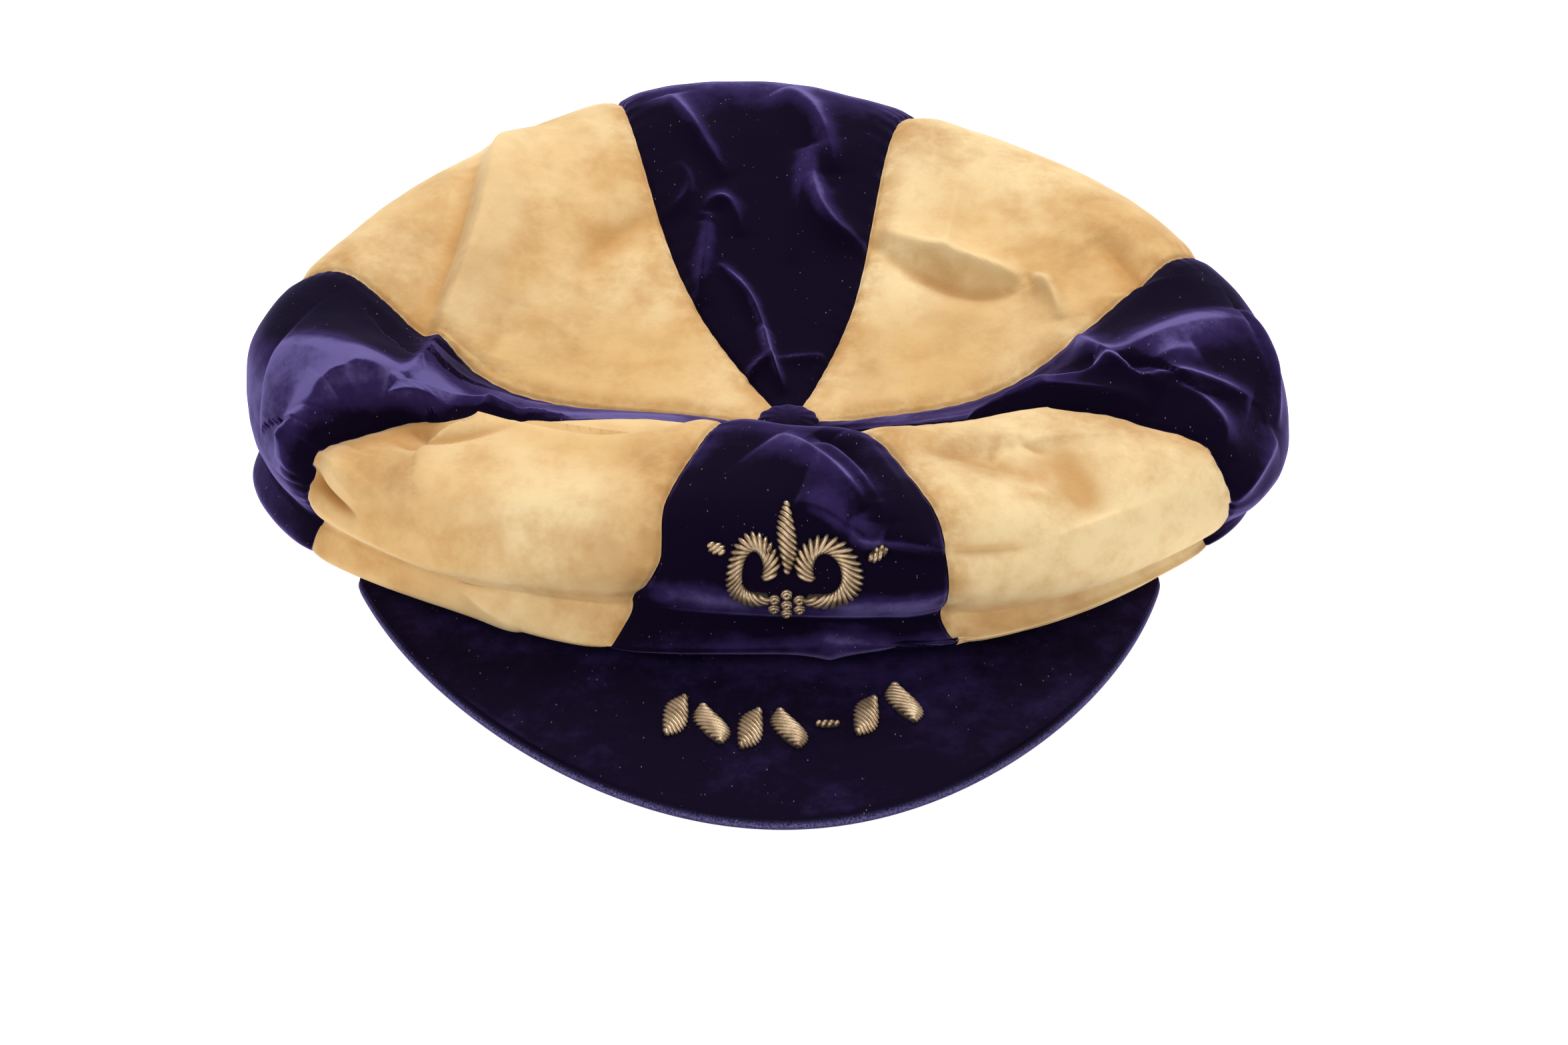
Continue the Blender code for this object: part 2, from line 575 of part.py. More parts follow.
def sprigs(peak_object):
    seat = peak_seat(peak_object)

    def on_arc(right):
        return SPRIG_MIDDLE + right * SPRIG_SPAN, -SPRIG_LINE + SPRIG_SAG * (2 * right)**2
    for row in SPRIGS:
        it = dict(zip(SPRIG_COLUMNS, row))
        leaf(it["node"], seat, on_arc(it["right"]), it["turn_deg"], SPRIG_LENGTH, SPRIG_WIDTH, SPRIG_RELIEF)
    leaf("peak_bar", seat, on_arc(BAR_RIGHT), 0, BAR_LENGTH, BAR_WIDTH, SPRIG_RELIEF, steps=4)


def clear_scene():
    for obj in list(bpy.data.objects):
        bpy.data.objects.remove(obj)


def make_material(name, color, roughness, metallic):
    material = bpy.data.materials.new(name)
    material.use_nodes = True
    shader = material.node_tree.nodes["Principled BSDF"]
    shader.inputs["Base Color"].default_value = color
    shader.inputs["Roughness"].default_value = roughness
    shader.inputs["Metallic"].default_value = metallic
    return material


def centre_on_table():
    """Move the whole cap so that its bounding box stands centred on the origin."""
    solids = [obj for obj in PARTS.objects if obj.type == "MESH"]
    points = np.array([obj.location + v.co for obj in solids for v in obj.data.vertices])
    low, high = points.min(axis=0), points.max(axis=0)
    CAP.location = (-(low[0] + high[0]) / 2, -(low[1] + high[1]) / 2, -low[2])


clear_scene()
MATERIALS = {name: make_material(name, *finish) for name, finish in FINISHES.items()}
PARTS = bpy.data.collections.new("honours_cap")
bpy.context.scene.collection.children.link(PARTS)
CAP = bpy.data.objects.new("cap", None)
PARTS.objects.link(CAP)
PANEL_OBJECTS = [crown_panel(index) for index in range(len(PANELS))]
crown_button()
PEAK = peak()
badge(PANEL_OBJECTS[0])
sprigs(PEAK)
centre_on_table()
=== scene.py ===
"""The looks of a velvet honours cap that lies on a pale table: cloth, bullion work, light and camera.

Metres, +Z up. The crown's surface is worked out in the crown's own frame, as the part's source does,
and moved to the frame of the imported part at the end.
"""
import math

import bmesh
import bpy
import numpy as np
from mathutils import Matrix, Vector, noise
from mathutils.bvhtree import BVHTree


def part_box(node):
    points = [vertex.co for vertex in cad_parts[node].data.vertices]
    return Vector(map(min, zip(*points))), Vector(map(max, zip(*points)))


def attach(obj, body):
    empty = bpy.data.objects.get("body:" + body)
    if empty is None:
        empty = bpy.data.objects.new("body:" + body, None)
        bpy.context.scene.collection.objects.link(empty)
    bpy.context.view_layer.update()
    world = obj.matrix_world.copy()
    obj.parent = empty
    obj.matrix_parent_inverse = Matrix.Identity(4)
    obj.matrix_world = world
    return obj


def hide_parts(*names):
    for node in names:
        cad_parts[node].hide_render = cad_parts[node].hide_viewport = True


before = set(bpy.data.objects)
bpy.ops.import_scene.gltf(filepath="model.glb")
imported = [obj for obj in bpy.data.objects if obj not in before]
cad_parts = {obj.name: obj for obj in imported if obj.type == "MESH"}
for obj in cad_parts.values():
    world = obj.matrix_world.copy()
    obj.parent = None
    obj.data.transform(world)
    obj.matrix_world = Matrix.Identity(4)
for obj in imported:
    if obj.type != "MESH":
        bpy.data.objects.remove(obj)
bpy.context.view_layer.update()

# The head opening, an ellipse whose middle lies a little behind the crown's own origin
RIM_HALF_WIDTH = 0.092
RIM_HALF_LENGTH = 0.085
RIM_BACKWARD = 0.0035
RIM_LIFT = 0.009
RIM_TURN = 0.003
REST_DEG = 150.0
HEM = 0.006
SAG = 0.0006

# The crown
CROWN_REACH = 0.140
CROWN_HEIGHT = 0.060
CLOTH = 0.0015
HEM_CLOTH = 0.001
TUCK_GAP = 0.0016

# The button at the middle of the crown
BUTTON_RIGHT = 0.006
BUTTON_FORWARD = 0.0205
BUTTON_HEIGHT = 0.028
HUB_RADIUS = 0.005

# The peak
PEAK_HALF_WIDTH = 0.1055
PEAK_FRONT = 0.1492
PEAK_ROOT = 0.0035
PEAK_RIGHT = -0.004
PEAK_LEAN = 0.0088
PEAK_THICK = 0.003
PEAK_TAPER = 0.14
PEAK_END_DEG = 76.0
PEAK_FALL = 1.3
PEAK_TIP = 0.08
LAP_GAP = 0.0008

# The seams: a wide pull, a narrow groove and small puckers, less of them at the button and the hem
SEAM_DEPTH = 0.0013
SEAM_WIDTH = 0.0040
GROOVE_DEPTH = 0.0009
GROOVE_WIDTH = 0.0008
PUCKER = 0.00012
PUCKER_PITCH = 0.0046
HUB_FADE = 0.06
HEM_SEAM = 0.35

# The cloth's own unevenness: rise, length and where in the noise it starts
WAVE_RISE = 0.0008
WAVE_LENGTH = 0.030
WAVE_START = 3.1
RIPPLE_RISE = 0.00022
RIPPLE_LENGTH = 0.008
RIPPLE_START = 7.7
HEM_WAVES = 0.2

# The creases: how high and wide one is, how it rounds off to its sides and its ends, how far its
# painted highlight on a ridge or painted shade in a dent reaches, how far across a seam or to another
# layer of cloth it has a say, and how finely it is followed
CREASE_RISE = 0.0048
CREASE_WIDTH = 0.0085
CREASE_SHARP = 1.25
CREASE_END = 0.6
RIDGE_SHARE = 0.7
NEAR_SEAM = 0.475
OWN_PANEL = 0.08
CREASE_REACH = 0.12
CREASE_FAR = 4
CREASE_STEPS = 40

PANELS = ("front", "front_right", "right", "back_right", "back", "back_left", "left", "front_left")

# Each row is half a panel further round, from the middle of the front panel towards +X.
# Degrees are turned about the button, apart from the rim's, which are about the head opening;
# "out" is a share of CROWN_REACH and "up" a share of CROWN_HEIGHT.
COLUMNS = ("rim_deg", "dish_deg", "dish_out", "dish_up", "crest_deg", "crest_out", "crest_up",
           "bulge_deg", "bulge_out", "bulge_up", "tuck_deg", "tuck_out", "tuck_up", "roll_out", "roll_up")
SECTIONS = (
    (3, 0, 0.14, 0.52, 0, 0.29, 0.80, 0, 0.51, 0.52, 0, 0.485, 0.27, 0.535, 0.215),
    (26, 19, 0.16, 0.52, 30, 0.335, 0.79, 28.5, 0.56, 0.49, 29, 0.53, 0.25, 0.585, 0.21),
    (47, 48, 0.22, 0.58, 56, 0.43, 0.74, 53, 0.66, 0.46, 51, 0.61, 0.22, 0.64, 0.185),
    (69, 69, 0.30, 0.66, 77, 0.615, 0.73, 74, 0.80, 0.43, 76, 0.75, 0.21, 0.755, 0.145),
    (90, 80, 0.30, 0.60, 98, 0.775, 0.79, 93, 0.89, 0.46, 92, 0.855, 0.22, 0.82, 0.11),
    (111, 102.5, 0.38, 0.55, 115, 0.78, 0.865, 119, 0.885, 0.52, 118, 0.865, 0.22, 0.84, 0.10),
    (134, 132, 0.34, 0.60, 138, 0.80, 0.915, 138, 0.91, 0.53, 138, 0.89, 0.22, 0.86, 0.10),
    (157, 157.5, 0.30, 0.66, 164, 0.82, 1.00, 160, 0.935, 0.55, 161, 0.915, 0.22, 0.88, 0.10),
    (180, 184, 0.34, 0.68, 182, 0.88, 1.04, 182, 0.985, 0.56, 182, 0.955, 0.22, 0.92, 0.10),
    (203, 209, 0.37, 0.68, 201.3, 0.89, 1.03, 200.5, 1.00, 0.56, 200.5, 0.97, 0.22, 0.93, 0.10),
    (226, 234, 0.42, 0.61, 226, 0.86, 0.94, 225, 0.975, 0.52, 226, 0.945, 0.22, 0.91, 0.10),
    (249, 260, 0.48, 0.53, 249, 0.89, 0.82, 251, 0.985, 0.51, 250, 0.95, 0.22, 0.915, 0.10),
    (270, 272, 0.44, 0.58, 268, 0.83, 0.80, 264, 0.97, 0.53, 266, 0.935, 0.28, 0.965, 0.145),
    (292, 289, 0.43, 0.64, 280, 0.70, 0.73, 284, 0.865, 0.48, 283, 0.835, 0.285, 0.855, 0.145),
    (315, 300, 0.30, 0.62, 303, 0.50, 0.725, 304, 0.71, 0.46, 306, 0.66, 0.295, 0.67, 0.16),
    (339.5, 334, 0.16, 0.54, 331, 0.30, 0.80, 335.5, 0.525, 0.50, 330, 0.525, 0.27, 0.59, 0.19),
)

# Dents and ridges: a bent line from start by mid to end, in panels round from the front and shares
# of the way from button to hem, with its rise as a share of CREASE_RISE and the width of its left
# and right flanks, seen from the start, as shares of CREASE_WIDTH.
CREASE_COLUMNS = ("from_round", "from_down", "mid_round", "mid_down", "to_round", "to_down",
                  "rise", "left", "right")
CREASES = (
    # the back left panel's long fold, its end in the left panel, and soft dents beside it
    (4.80, 0.560, 5.04, 0.339, 5.60, 0.322, 1.3, 1.7, 0.38),
    (4.85, 0.560, 5.10, 0.346, 5.63, 0.332, -0.6, 0.35, 0.6),
    (5.48, 0.322, 5.86, 0.335, 6.14, 0.390, 1.0, 1.1, 0.3),
    (4.50, 0.322, 4.64, 0.325, 4.94, 0.289, -0.6, 0.8, 0.8),
    (5.18, 0.302, 5.28, 0.281, 5.38, 0.266, -0.25, 0.3, 0.3),
    # the back right panel's pinch, the hollow in front of it, its end, and lines above it
    (3.46, 0.324, 3.00, 0.306, 2.74, 0.345, 1.0, 0.5, 0.38),
    (3.52, 0.312, 2.91, 0.250, 2.80, 0.350, -0.6, 0.35, 0.40),
    (2.84, 0.339, 2.75, 0.352, 2.62, 0.325, 0.7, 0.3, 0.3),
    (2.88, 0.315, 2.84, 0.349, 2.80, 0.329, -0.5, 0.25, 0.25),
    (3.14, 0.299, 3.20, 0.319, 3.26, 0.432, 0.35, 0.3, 0.3),
    (2.76, 0.428, 2.62, 0.428, 2.48, 0.415, -0.7, 0.7, 0.7),
    # ridges and thin creases of the back panel
    (4.36, 0.470, 4.32, 0.398, 4.20, 0.349, 0.9, 0.45, 0.5),
    (3.96, 0.480, 3.77, 0.423, 3.70, 0.369, 0.9, 0.5, 0.5),
    (3.82, 0.388, 3.82, 0.299, 3.50, 0.302, 1.0, 0.4, 0.5),
    (4.30, 0.309, 4.33, 0.269, 4.48, 0.203, 0.7, 0.35, 0.35),
    (4.34, 0.305, 4.19, 0.349, 4.16, 0.286, 0.6, 0.3, 0.35),
    (4.30, 0.249, 4.10, 0.196, 4.14, 0.103, 0.7, 0.22, 0.22),
    (4.14, 0.146, 4.18, 0.090, 4.04, 0.040, 0.7, 0.22, 0.22),
    (4.50, 0.073, 4.34, 0.088, 4.10, 0.096, 0.5, 0.2, 0.2),
    (4.14, 0.090, 3.68, 0.108, 3.54, 0.133, 0.35, 0.2, 0.2),
    (4.38, 0.369, 4.29, 0.327, 4.48, 0.319, 0.45, 0.3, 0.3),
    (3.88, 0.382, 3.83, 0.330, 3.90, 0.259, 0.3, 0.3, 0.3),
    # folds that meet on the right panel
    (2.50, 0.325, 1.81, 0.357, 1.72, 0.435, 1.0, 0.4, 0.35),
    (1.62, 0.240, 1.60, 0.360, 1.76, 0.412, 1.1, 0.35, 0.6),
    (1.80, 0.379, 1.65, 0.435, 1.62, 0.505, 1.0, 0.4, 0.45),
    (1.64, 0.475, 1.67, 0.493, 1.74, 0.598, 0.8, 0.5, 0.4),
    (1.62, 0.495, 1.66, 0.564, 1.52, 0.620, 0.8, 0.45, 0.8),
    (1.78, 0.418, 1.89, 0.408, 2.04, 0.545, 1.1, 1.0, 1.4),
    (1.68, 0.465, 1.77, 0.470, 1.82, 0.495, 0.4, 0.4, 0.4),
    (2.14, 0.551, 1.95, 0.581, 1.80, 0.651, 0.8, 0.35, 0.6),
    (1.54, 0.340, 1.57, 0.430, 1.55, 0.515, 0.6, 0.25, 0.25),
    (1.78, 0.664, 1.57, 0.661, 1.50, 0.701, 0.6, 0.35, 0.35),
    # the sagging right and left crests beside the front, and the left one's rise toward the button
    (1.50, 0.600, 1.50, 0.480, 1.50, 0.380, -0.5, 1.2, 1.2),
    (6.50, 0.620, 6.50, 0.470, 6.50, 0.340, -1.2, 1.5, 1.5),
    (6.50, 0.260, 6.50, 0.150, 6.52, 0.030, 1.0, 1.2, 1.2),
    # folds and rolls of the left panel
    (6.40, 0.575, 6.26, 0.530, 6.28, 0.440, 1.1, 0.45, 0.5),
    (6.30, 0.500, 6.26, 0.400, 6.40, 0.200, 1.2, 0.55, 0.7),
    (6.46, 0.530, 6.40, 0.460, 6.47, 0.400, 0.7, 0.22, 0.25),
    (6.36, 0.545, 6.43, 0.609, 6.46, 0.700, 0.8, 0.45, 0.9),
    (6.38, 0.624, 6.49, 0.593, 6.46, 0.541, 0.7, 0.3, 0.5),
    (6.38, 0.634, 6.49, 0.634, 6.46, 0.680, 0.7, 0.35, 0.35),
    (6.02, 0.575, 6.07, 0.472, 6.40, 0.478, 1.2, 1.4, 1.5),
    # folds above and beside the badge
    (-0.08, 0.505, 0.18, 0.538, 0.26, 0.605, 1.1, 0.3, 1.0),
    (0.18, 0.505, 0.32, 0.558, 0.30, 0.620, 0.8, 0.7, 0.28),
    (0.16, 0.485, 0.33, 0.511, 0.30, 0.600, -0.7, 0.28, 0.28),
    (0.02, 0.598, 0.17, 0.618, 0.28, 0.650, 1.0, 0.8, 0.25),
    (0.20, 0.641, 0.34, 0.641, 0.50, 0.654, 1.0, 0.8, 0.25),
    (0.24, 0.654, 0.35, 0.652, 0.49, 0.670, -0.7, 0.28, 0.3),
    (7.72, 0.540, 7.73, 0.598, 7.78, 0.645, 0.6, 0.35, 0.35),
    (7.68, 0.608, 7.70, 0.639, 7.72, 0.700, 0.6, 0.4, 0.4),
    (7.54, 0.614, 7.61, 0.584, 7.72, 0.625, 0.6, 0.3, 0.3),
    (7.58, 0.608, 7.60, 0.644, 7.62, 0.681, -0.6, 0.6, 0.5),
    (7.60, 0.725, 7.58, 0.686, 7.64, 0.655, 0.4, 0.35, 0.35),
    # waves of the front strip
    (7.62, 0.79, 7.62, 0.85, 7.62, 0.91, 0.3, 0.8, 0.8),
    (7.98, 0.78, 7.98, 0.84, 7.98, 0.91, -0.45, 0.6, 0.6),
    (0.12, 0.79, 0.12, 0.85, 0.12, 0.91, 0.35, 0.6, 0.6),
    (0.34, 0.79, 0.34, 0.85, 0.34, 0.91, -0.25, 0.8, 0.8),
    # dents of the front right panel
    (1.16, 0.518, 1.03, 0.578, 1.02, 0.645, -0.8, 1.0, 1.2),
    (0.62, 0.495, 0.83, 0.530, 0.98, 0.571, -0.6, 0.9, 0.9),
    (0.50, 0.654, 0.59, 0.662, 0.80, 0.664, -0.5, 0.3, 0.3),
    (0.88, 0.535, 0.96, 0.518, 1.04, 0.500, -0.3, 0.2, 0.2),
    (1.08, 0.505, 1.07, 0.521, 1.10, 0.536, -0.3, 0.2, 0.2),
    # dents of the front left panel
    (6.54, 0.485, 6.63, 0.511, 6.70, 0.525, -0.9, 0.4, 0.4),
    (6.60, 0.545, 6.79, 0.551, 6.78, 0.420, -0.6, 0.28, 0.35),
    (6.50, 0.650, 6.55, 0.681, 6.74, 0.681, -1.1, 0.35, 0.35),
    (6.56, 0.590, 6.59, 0.636, 6.74, 0.657, 0.6, 0.5, 0.5),
    (6.96, 0.796, 7.05, 0.814, 7.18, 0.830, 0.5, 0.35, 0.35),
)
REST_ROWS = 5
SLOPE_STEP = 1e-4

# Which of a section's knots is which
CREST_KNOT = 2
LIP_KNOT = 5
EDGE_KNOT = 6
ROLL_KNOT = 9

# The mesh of a panel: steps across its width, which are finer toward its seams by what EVEN_SHARE
# leaves, and steps between neighbouring knots down it. Every COARSE-th line of the face goes on to
# the cloth's inner side.
PANEL_STEPS = 112
EVEN_SHARE = 0.55
ROW_STEPS = (40, 96, 32, 40, 24, 12, 8, 8, 16, 28, 28, 8, 8, 8)
COARSE = 4


def rim_point(deg):
    """The head opening's edge, at an angle round from the front."""
    turn = math.radians(deg)
    return RIM_HALF_WIDTH * math.sin(turn), RIM_BACKWARD - RIM_HALF_LENGTH * math.cos(turn)


def rim_height(deg):
    """How high the crown's lowest cloth lies: on the peak in front, on the table behind."""
    side = min(deg % 360, -deg % 360, REST_DEG) / REST_DEG
    return RIM_LIFT * 0.5 * (1 + math.cos(math.pi * side))


def peak_section(turn, rows):
    """One cut through the peak at turn from -1 to 1 across it: its top edge points from crown to front."""
    deg = PEAK_END_DEG * turn
    inner = np.array(rim_point(deg))
    rad = math.radians(deg)
    wide = PEAK_HALF_WIDTH * math.sin(rad) * (1 - PEAK_TAPER * math.cos(rad)**2)
    outer = np.array((PEAK_RIGHT + wide + PEAK_LEAN * math.cos(rad),
                      -PEAK_ROOT - (PEAK_FRONT - PEAK_ROOT) * math.cos(rad)))
    tip = min(1, (1 - abs(turn)) / PEAK_TIP)
    outer = inner + (outer - inner) * (PEAK_TIP + (1 - PEAK_TIP) * tip * tip * (3 - 2 * tip))
    root = rim_height(deg) - LAP_GAP
    share = np.linspace(0, 1, rows + 1)
    plan = inner + (outer - inner) * share[:, None]
    return np.column_stack((plan, PEAK_THICK + (root - PEAK_THICK) * (1 - share)**PEAK_FALL))


def rest_height(deg, out):
    """The height of what lies under the crown, at a distance out from the head opening's edge."""
    if min(deg % 360, -deg % 360) > PEAK_END_DEG:
        return 0
    section = peak_section(((deg + 180) % 360 - 180) / PEAK_END_DEG, REST_ROWS)
    reach = np.linalg.norm(section[:, :2] - section[0, :2], axis=1)
    return np.interp(out, reach, section[:, 2]) + LAP_GAP


def polar(point, near):
    """Distance and degrees of a plan point round the button, the degrees within half a turn of near."""
    right, front = point[0] - BUTTON_RIGHT, -BUTTON_FORWARD - point[1]
    deg = math.degrees(math.atan2(right, front))
    return math.hypot(right, front), near + (deg - near + 180) % 360 - 180


def section_points(index, row):
    """The knots of one section as (distance out, height, degrees), from the button to the hem."""
    c = dict(zip(COLUMNS, row))
    out = {k: c[k + "_out"] * CROWN_REACH for k in ("dish", "crest", "bulge", "tuck", "roll")}
    up = {k: c[k + "_up"] * CROWN_HEIGHT for k in ("dish", "crest", "bulge", "tuck", "roll")}
    rim_out, rim_deg = polar(rim_point(c["rim_deg"]), c["tuck_deg"])
    level = rim_height(c["rim_deg"])
    sag = SAG * (1 - level / RIM_LIFT)
    under_out = 0.45 * (rim_out + RIM_TURN) + 0.55 * out["roll"]
    lip_up = up["tuck"] + TUCK_GAP
    quarter = math.sqrt(0.5)
    return (
        (HUB_RADIUS, BUTTON_HEIGHT, index * 180 / len(PANELS)),
        (out["dish"], up["dish"], c["dish_deg"]),
        (out["crest"], up["crest"], c["crest_deg"]),
        (out["crest"] + quarter * (out["bulge"] - out["crest"]),
         up["bulge"] + quarter * (up["crest"] - up["bulge"]), (c["crest_deg"] + c["bulge_deg"]) / 2),
        (out["bulge"], up["bulge"], c["bulge_deg"]),
        (0.9 * out["bulge"] + 0.1 * out["tuck"], 0.65 * lip_up + 0.35 * up["bulge"],
         (c["bulge_deg"] + c["tuck_deg"]) / 2),
        (0.7 * out["tuck"] + 0.3 * out["bulge"], lip_up, c["tuck_deg"]),
        (out["tuck"], up["tuck"], c["tuck_deg"]),
        (0.7 * out["tuck"] + 0.3 * out["roll"], up["tuck"] - TUCK_GAP, c["tuck_deg"]),
        (out["roll"], up["roll"], c["tuck_deg"]),
        (under_out, rest_height(c["rim_deg"], under_out - rim_out) - sag, (c["tuck_deg"] + rim_deg) / 2),
        (rim_out + RIM_TURN, level - sag, rim_deg),
        (rim_out + (1 - quarter) * RIM_TURN, level + (1 - quarter) * RIM_TURN, rim_deg),
        (rim_out, level + RIM_TURN, rim_deg),
        (rim_out, level + HEM, rim_deg),
    )


def section_net():
    """Every section's knots as XYZ: [section, knot, 3]."""
    net = []
    for index, row in enumerate(SECTIONS):
        line = []
        for distance, height, deg in section_points(index, row):
            turn = math.radians(deg)
            line.append((BUTTON_RIGHT + distance * math.sin(turn),
                         -BUTTON_FORWARD - distance * math.cos(turn), height))
        net.append(line)
    return np.array(net)


NET = section_net()
SPANS = np.linalg.norm(np.diff(NET, axis=1), axis=2).mean(axis=0)
KNOTS = np.concatenate(([0], np.cumsum(SPANS))) / SPANS.sum()


def around(round_at):
    """Knots of the sections that stand at panel coordinates round_at, by a closed smooth curve."""
    place = np.asarray(round_at, float) * 2
    first = np.floor(place).astype(int)
    f = (place - first)[:, None, None]
    a, b, c, d = (NET[(first + step) % len(NET)] for step in (-1, 0, 1, 2))
    return b + 0.5 * f * (c - a + f * (2 * a - 5 * b + 4 * c - d + f * (3 * (b - c) + d - a)))


def along(knots, down):
    """Points at shares down of the way through each row of knots, by a smooth cubic curve."""
    step = np.diff(KNOTS)
    slope = np.diff(knots, axis=1) / step[None, :, None]
    weight = (step[1:] / (step[1:] + step[:-1]))[None, :, None]
    tangent = np.empty_like(knots)
    tangent[:, 1:-1] = weight * slope[:, :-1] + (1 - weight) * slope[:, 1:]
    tangent[:, 0] = slope[:, 0]
    tangent[:, -1] = slope[:, -1]
    at = np.clip(np.searchsorted(KNOTS, down, side="right") - 1, 0, len(step) - 1)
    x = ((down - KNOTS[at]) / step[at])[None, :, None]
    length = step[at][None, :, None]
    return ((2 * x**3 - 3 * x**2 + 1) * knots[:, at] + (x**3 - 2 * x**2 + x) * length * tangent[:, at]
            + (3 * x**2 - 2 * x**3) * knots[:, at + 1] + (x**3 - x**2) * length * tangent[:, at + 1])


def smooth_surface(round_at, down):
    """The crown before its seams and creases: [len(round_at), len(down), 3]."""
    return along(around(round_at), np.asarray(down, float))


def slopes(round_at, down):
    """The smooth surface's change per panel round and per share down."""
    round_at, down = np.asarray(round_at, float), np.asarray(down, float)
    ahead, behind = smooth_surface(round_at + SLOPE_STEP, down), smooth_surface(round_at - SLOPE_STEP, down)
    across = (ahead - behind) / (2 * SLOPE_STEP)
    above, below = np.clip(down - SLOPE_STEP, 0, 1), np.clip(down + SLOPE_STEP, 0, 1)
    fall = smooth_surface(round_at, below) - smooth_surface(round_at, above)
    return across, fall / (below - above)[None, :, None]


def unit(vectors):
    """The vectors at a length of 1."""
    return vectors / np.linalg.norm(vectors, axis=-1, keepdims=True)


def crease_line(crease):
    """A crease's points on the smooth surface, the ways ahead and to the left, and the shares down."""
    t = np.linspace(0, 1, CREASE_STEPS)
    shares = {"from": (1 - t)**2, "mid": 2 * t * (1 - t), "to": t**2}
    round_at = sum(share * crease[end + "_round"] for end, share in shares.items())
    down = sum(share * crease[end + "_down"] for end, share in shares.items())
    each = np.arange(CREASE_STEPS)
    across, fall = (slope[each, each] for slope in slopes(round_at, down))
    points = smooth_surface(round_at, down)[each, each]
    ahead = unit(np.gradient(points, axis=0))
    return points, ahead, unit(np.cross(np.cross(fall, across), ahead)), down


def named(columns, rows):
    """A table's rows, each as values by column."""
    return [dict(zip(columns, row)) for row in rows]


CREASE_LINES = [(crease, *crease_line(crease)) for crease in named(CREASE_COLUMNS, CREASES)]


def crease_rise(points, round_at, down):
    """How far the creases lift each point of a grid off the smooth surface, and how near it is to
    a ridge's (up to 1) or a dent's (down to -1) line, which the materials paint as a highlight or as shade."""
    rise, ridge = np.zeros(points.shape[:2]), np.zeros(points.shape[:2])
    low, high = points.reshape(-1, 3).min(axis=0), points.reshape(-1, 3).max(axis=0)
    for crease, line, ahead, left, line_down in CREASE_LINES:
        far = CREASE_FAR * CREASE_WIDTH * max(crease["left"], crease["right"])
        if (line.min(axis=0) > high + far).any() or (line.max(axis=0) < low - far).any():
            continue
        nearest = np.linalg.norm(points[:, :, None] - line, axis=3).argmin(axis=2)
        apart = points - line[nearest]
        half_step = 0.5 * np.linalg.norm(np.diff(line, axis=0), axis=1).mean()
        passed = np.clip((apart * ahead[nearest]).sum(axis=2), -half_step, half_step)
        least = np.linalg.norm(apart - passed[:, :, None] * ahead[nearest], axis=2)
        side = (apart * left[nearest]).sum(axis=2)
        width = CREASE_WIDTH * np.where(side > 0, crease["left"], crease["right"])
        share = (nearest + 0.5 + passed / (2 * half_step)) / CREASE_STEPS
        fade = np.sin(np.pi * np.clip(share, 0, 1))**CREASE_END
        same_layer = np.abs(down[None, :] - line_down[nearest]) < CREASE_REACH
        height = crease["rise"] * fade * same_layer
        if not crease_crosses(crease):
            own = np.abs(round_at - np.round(crease["mid_round"]))[:, None]
            height = height * np.clip((0.5 - own) / OWN_PANEL, 0, 1)
        rise += height * CREASE_RISE * np.exp(-(least / width)**CREASE_SHARP)
        ridge += height * np.exp(-(least / (RIDGE_SHARE * width))**2)
    return rise, np.clip(ridge, -1, 1)


def crease_crosses(crease):
    """Whether a crease ends at or beyond a seam, so that the next panel takes part in it."""
    middle = round(crease["mid_round"])
    return max(abs(crease["from_round"] - middle), abs(crease["to_round"] - middle)) > NEAR_SEAM


def soft_noise(points, length, start):
    """Smooth noise from -1 to 1 at each point, with waves about as long as length."""
    flat = points.reshape(-1, 3) / length + start
    return np.array([noise.noise(Vector(p)) for p in flat]).reshape(points.shape[:-1])


def cloth(round_at, down):
    """The crown's outer and inner face at each panel coordinate and share down, with each point's
    distance to the seam and nearness to a ridge or dent."""
    smooth = smooth_surface(round_at, down)
    across, fall = slopes(round_at, down)
    out = unit(np.cross(fall, across))
    to_seam = 0.5 - np.abs(round_at - np.round(round_at))
    seam_distance = np.linalg.norm(across, axis=2) * to_seam[:, None]
    length_down = down * np.linalg.norm(fall, axis=2).mean()
    stretches = (0, HUB_FADE, KNOTS[LIP_KNOT], KNOTS[ROLL_KNOT])
    pull = SEAM_DEPTH * np.exp(-(seam_distance / SEAM_WIDTH)**2)
    pull += GROOVE_DEPTH * np.exp(-(seam_distance / GROOVE_WIDTH)**2)
    pull += PUCKER * np.sin(2 * math.pi * length_down / PUCKER_PITCH) * np.exp(-seam_distance / SEAM_WIDTH)
    waves = WAVE_RISE * soft_noise(smooth, WAVE_LENGTH, WAVE_START)
    waves += RIPPLE_RISE * soft_noise(smooth, RIPPLE_LENGTH, RIPPLE_START)
    rise, ridge = crease_rise(smooth, round_at, down)
    rise = rise + waves * np.interp(down, stretches, (0, 1, 1, HEM_WAVES))
    rise = rise - pull * np.interp(down, stretches, (0, 1, 1, HEM_SEAM))
    outer = smooth + out * rise[:, :, None]
    outer[:, :, 2] = np.maximum(outer[:, :, 2], 0)
    thickness = np.interp(down, (KNOTS[LIP_KNOT], KNOTS[ROLL_KNOT]), (CLOTH, HEM_CLOTH))
    return outer, outer - out * thickness[None, :, None], seam_distance, ridge


def row_places():
    """The shares down at which a panel's mesh has its rows."""
    places = [np.linspace(start, end, steps, endpoint=False)
              for start, end, steps in zip(KNOTS[:-1], KNOTS[1:], ROW_STEPS)]
    return np.append(np.concatenate(places), 1)


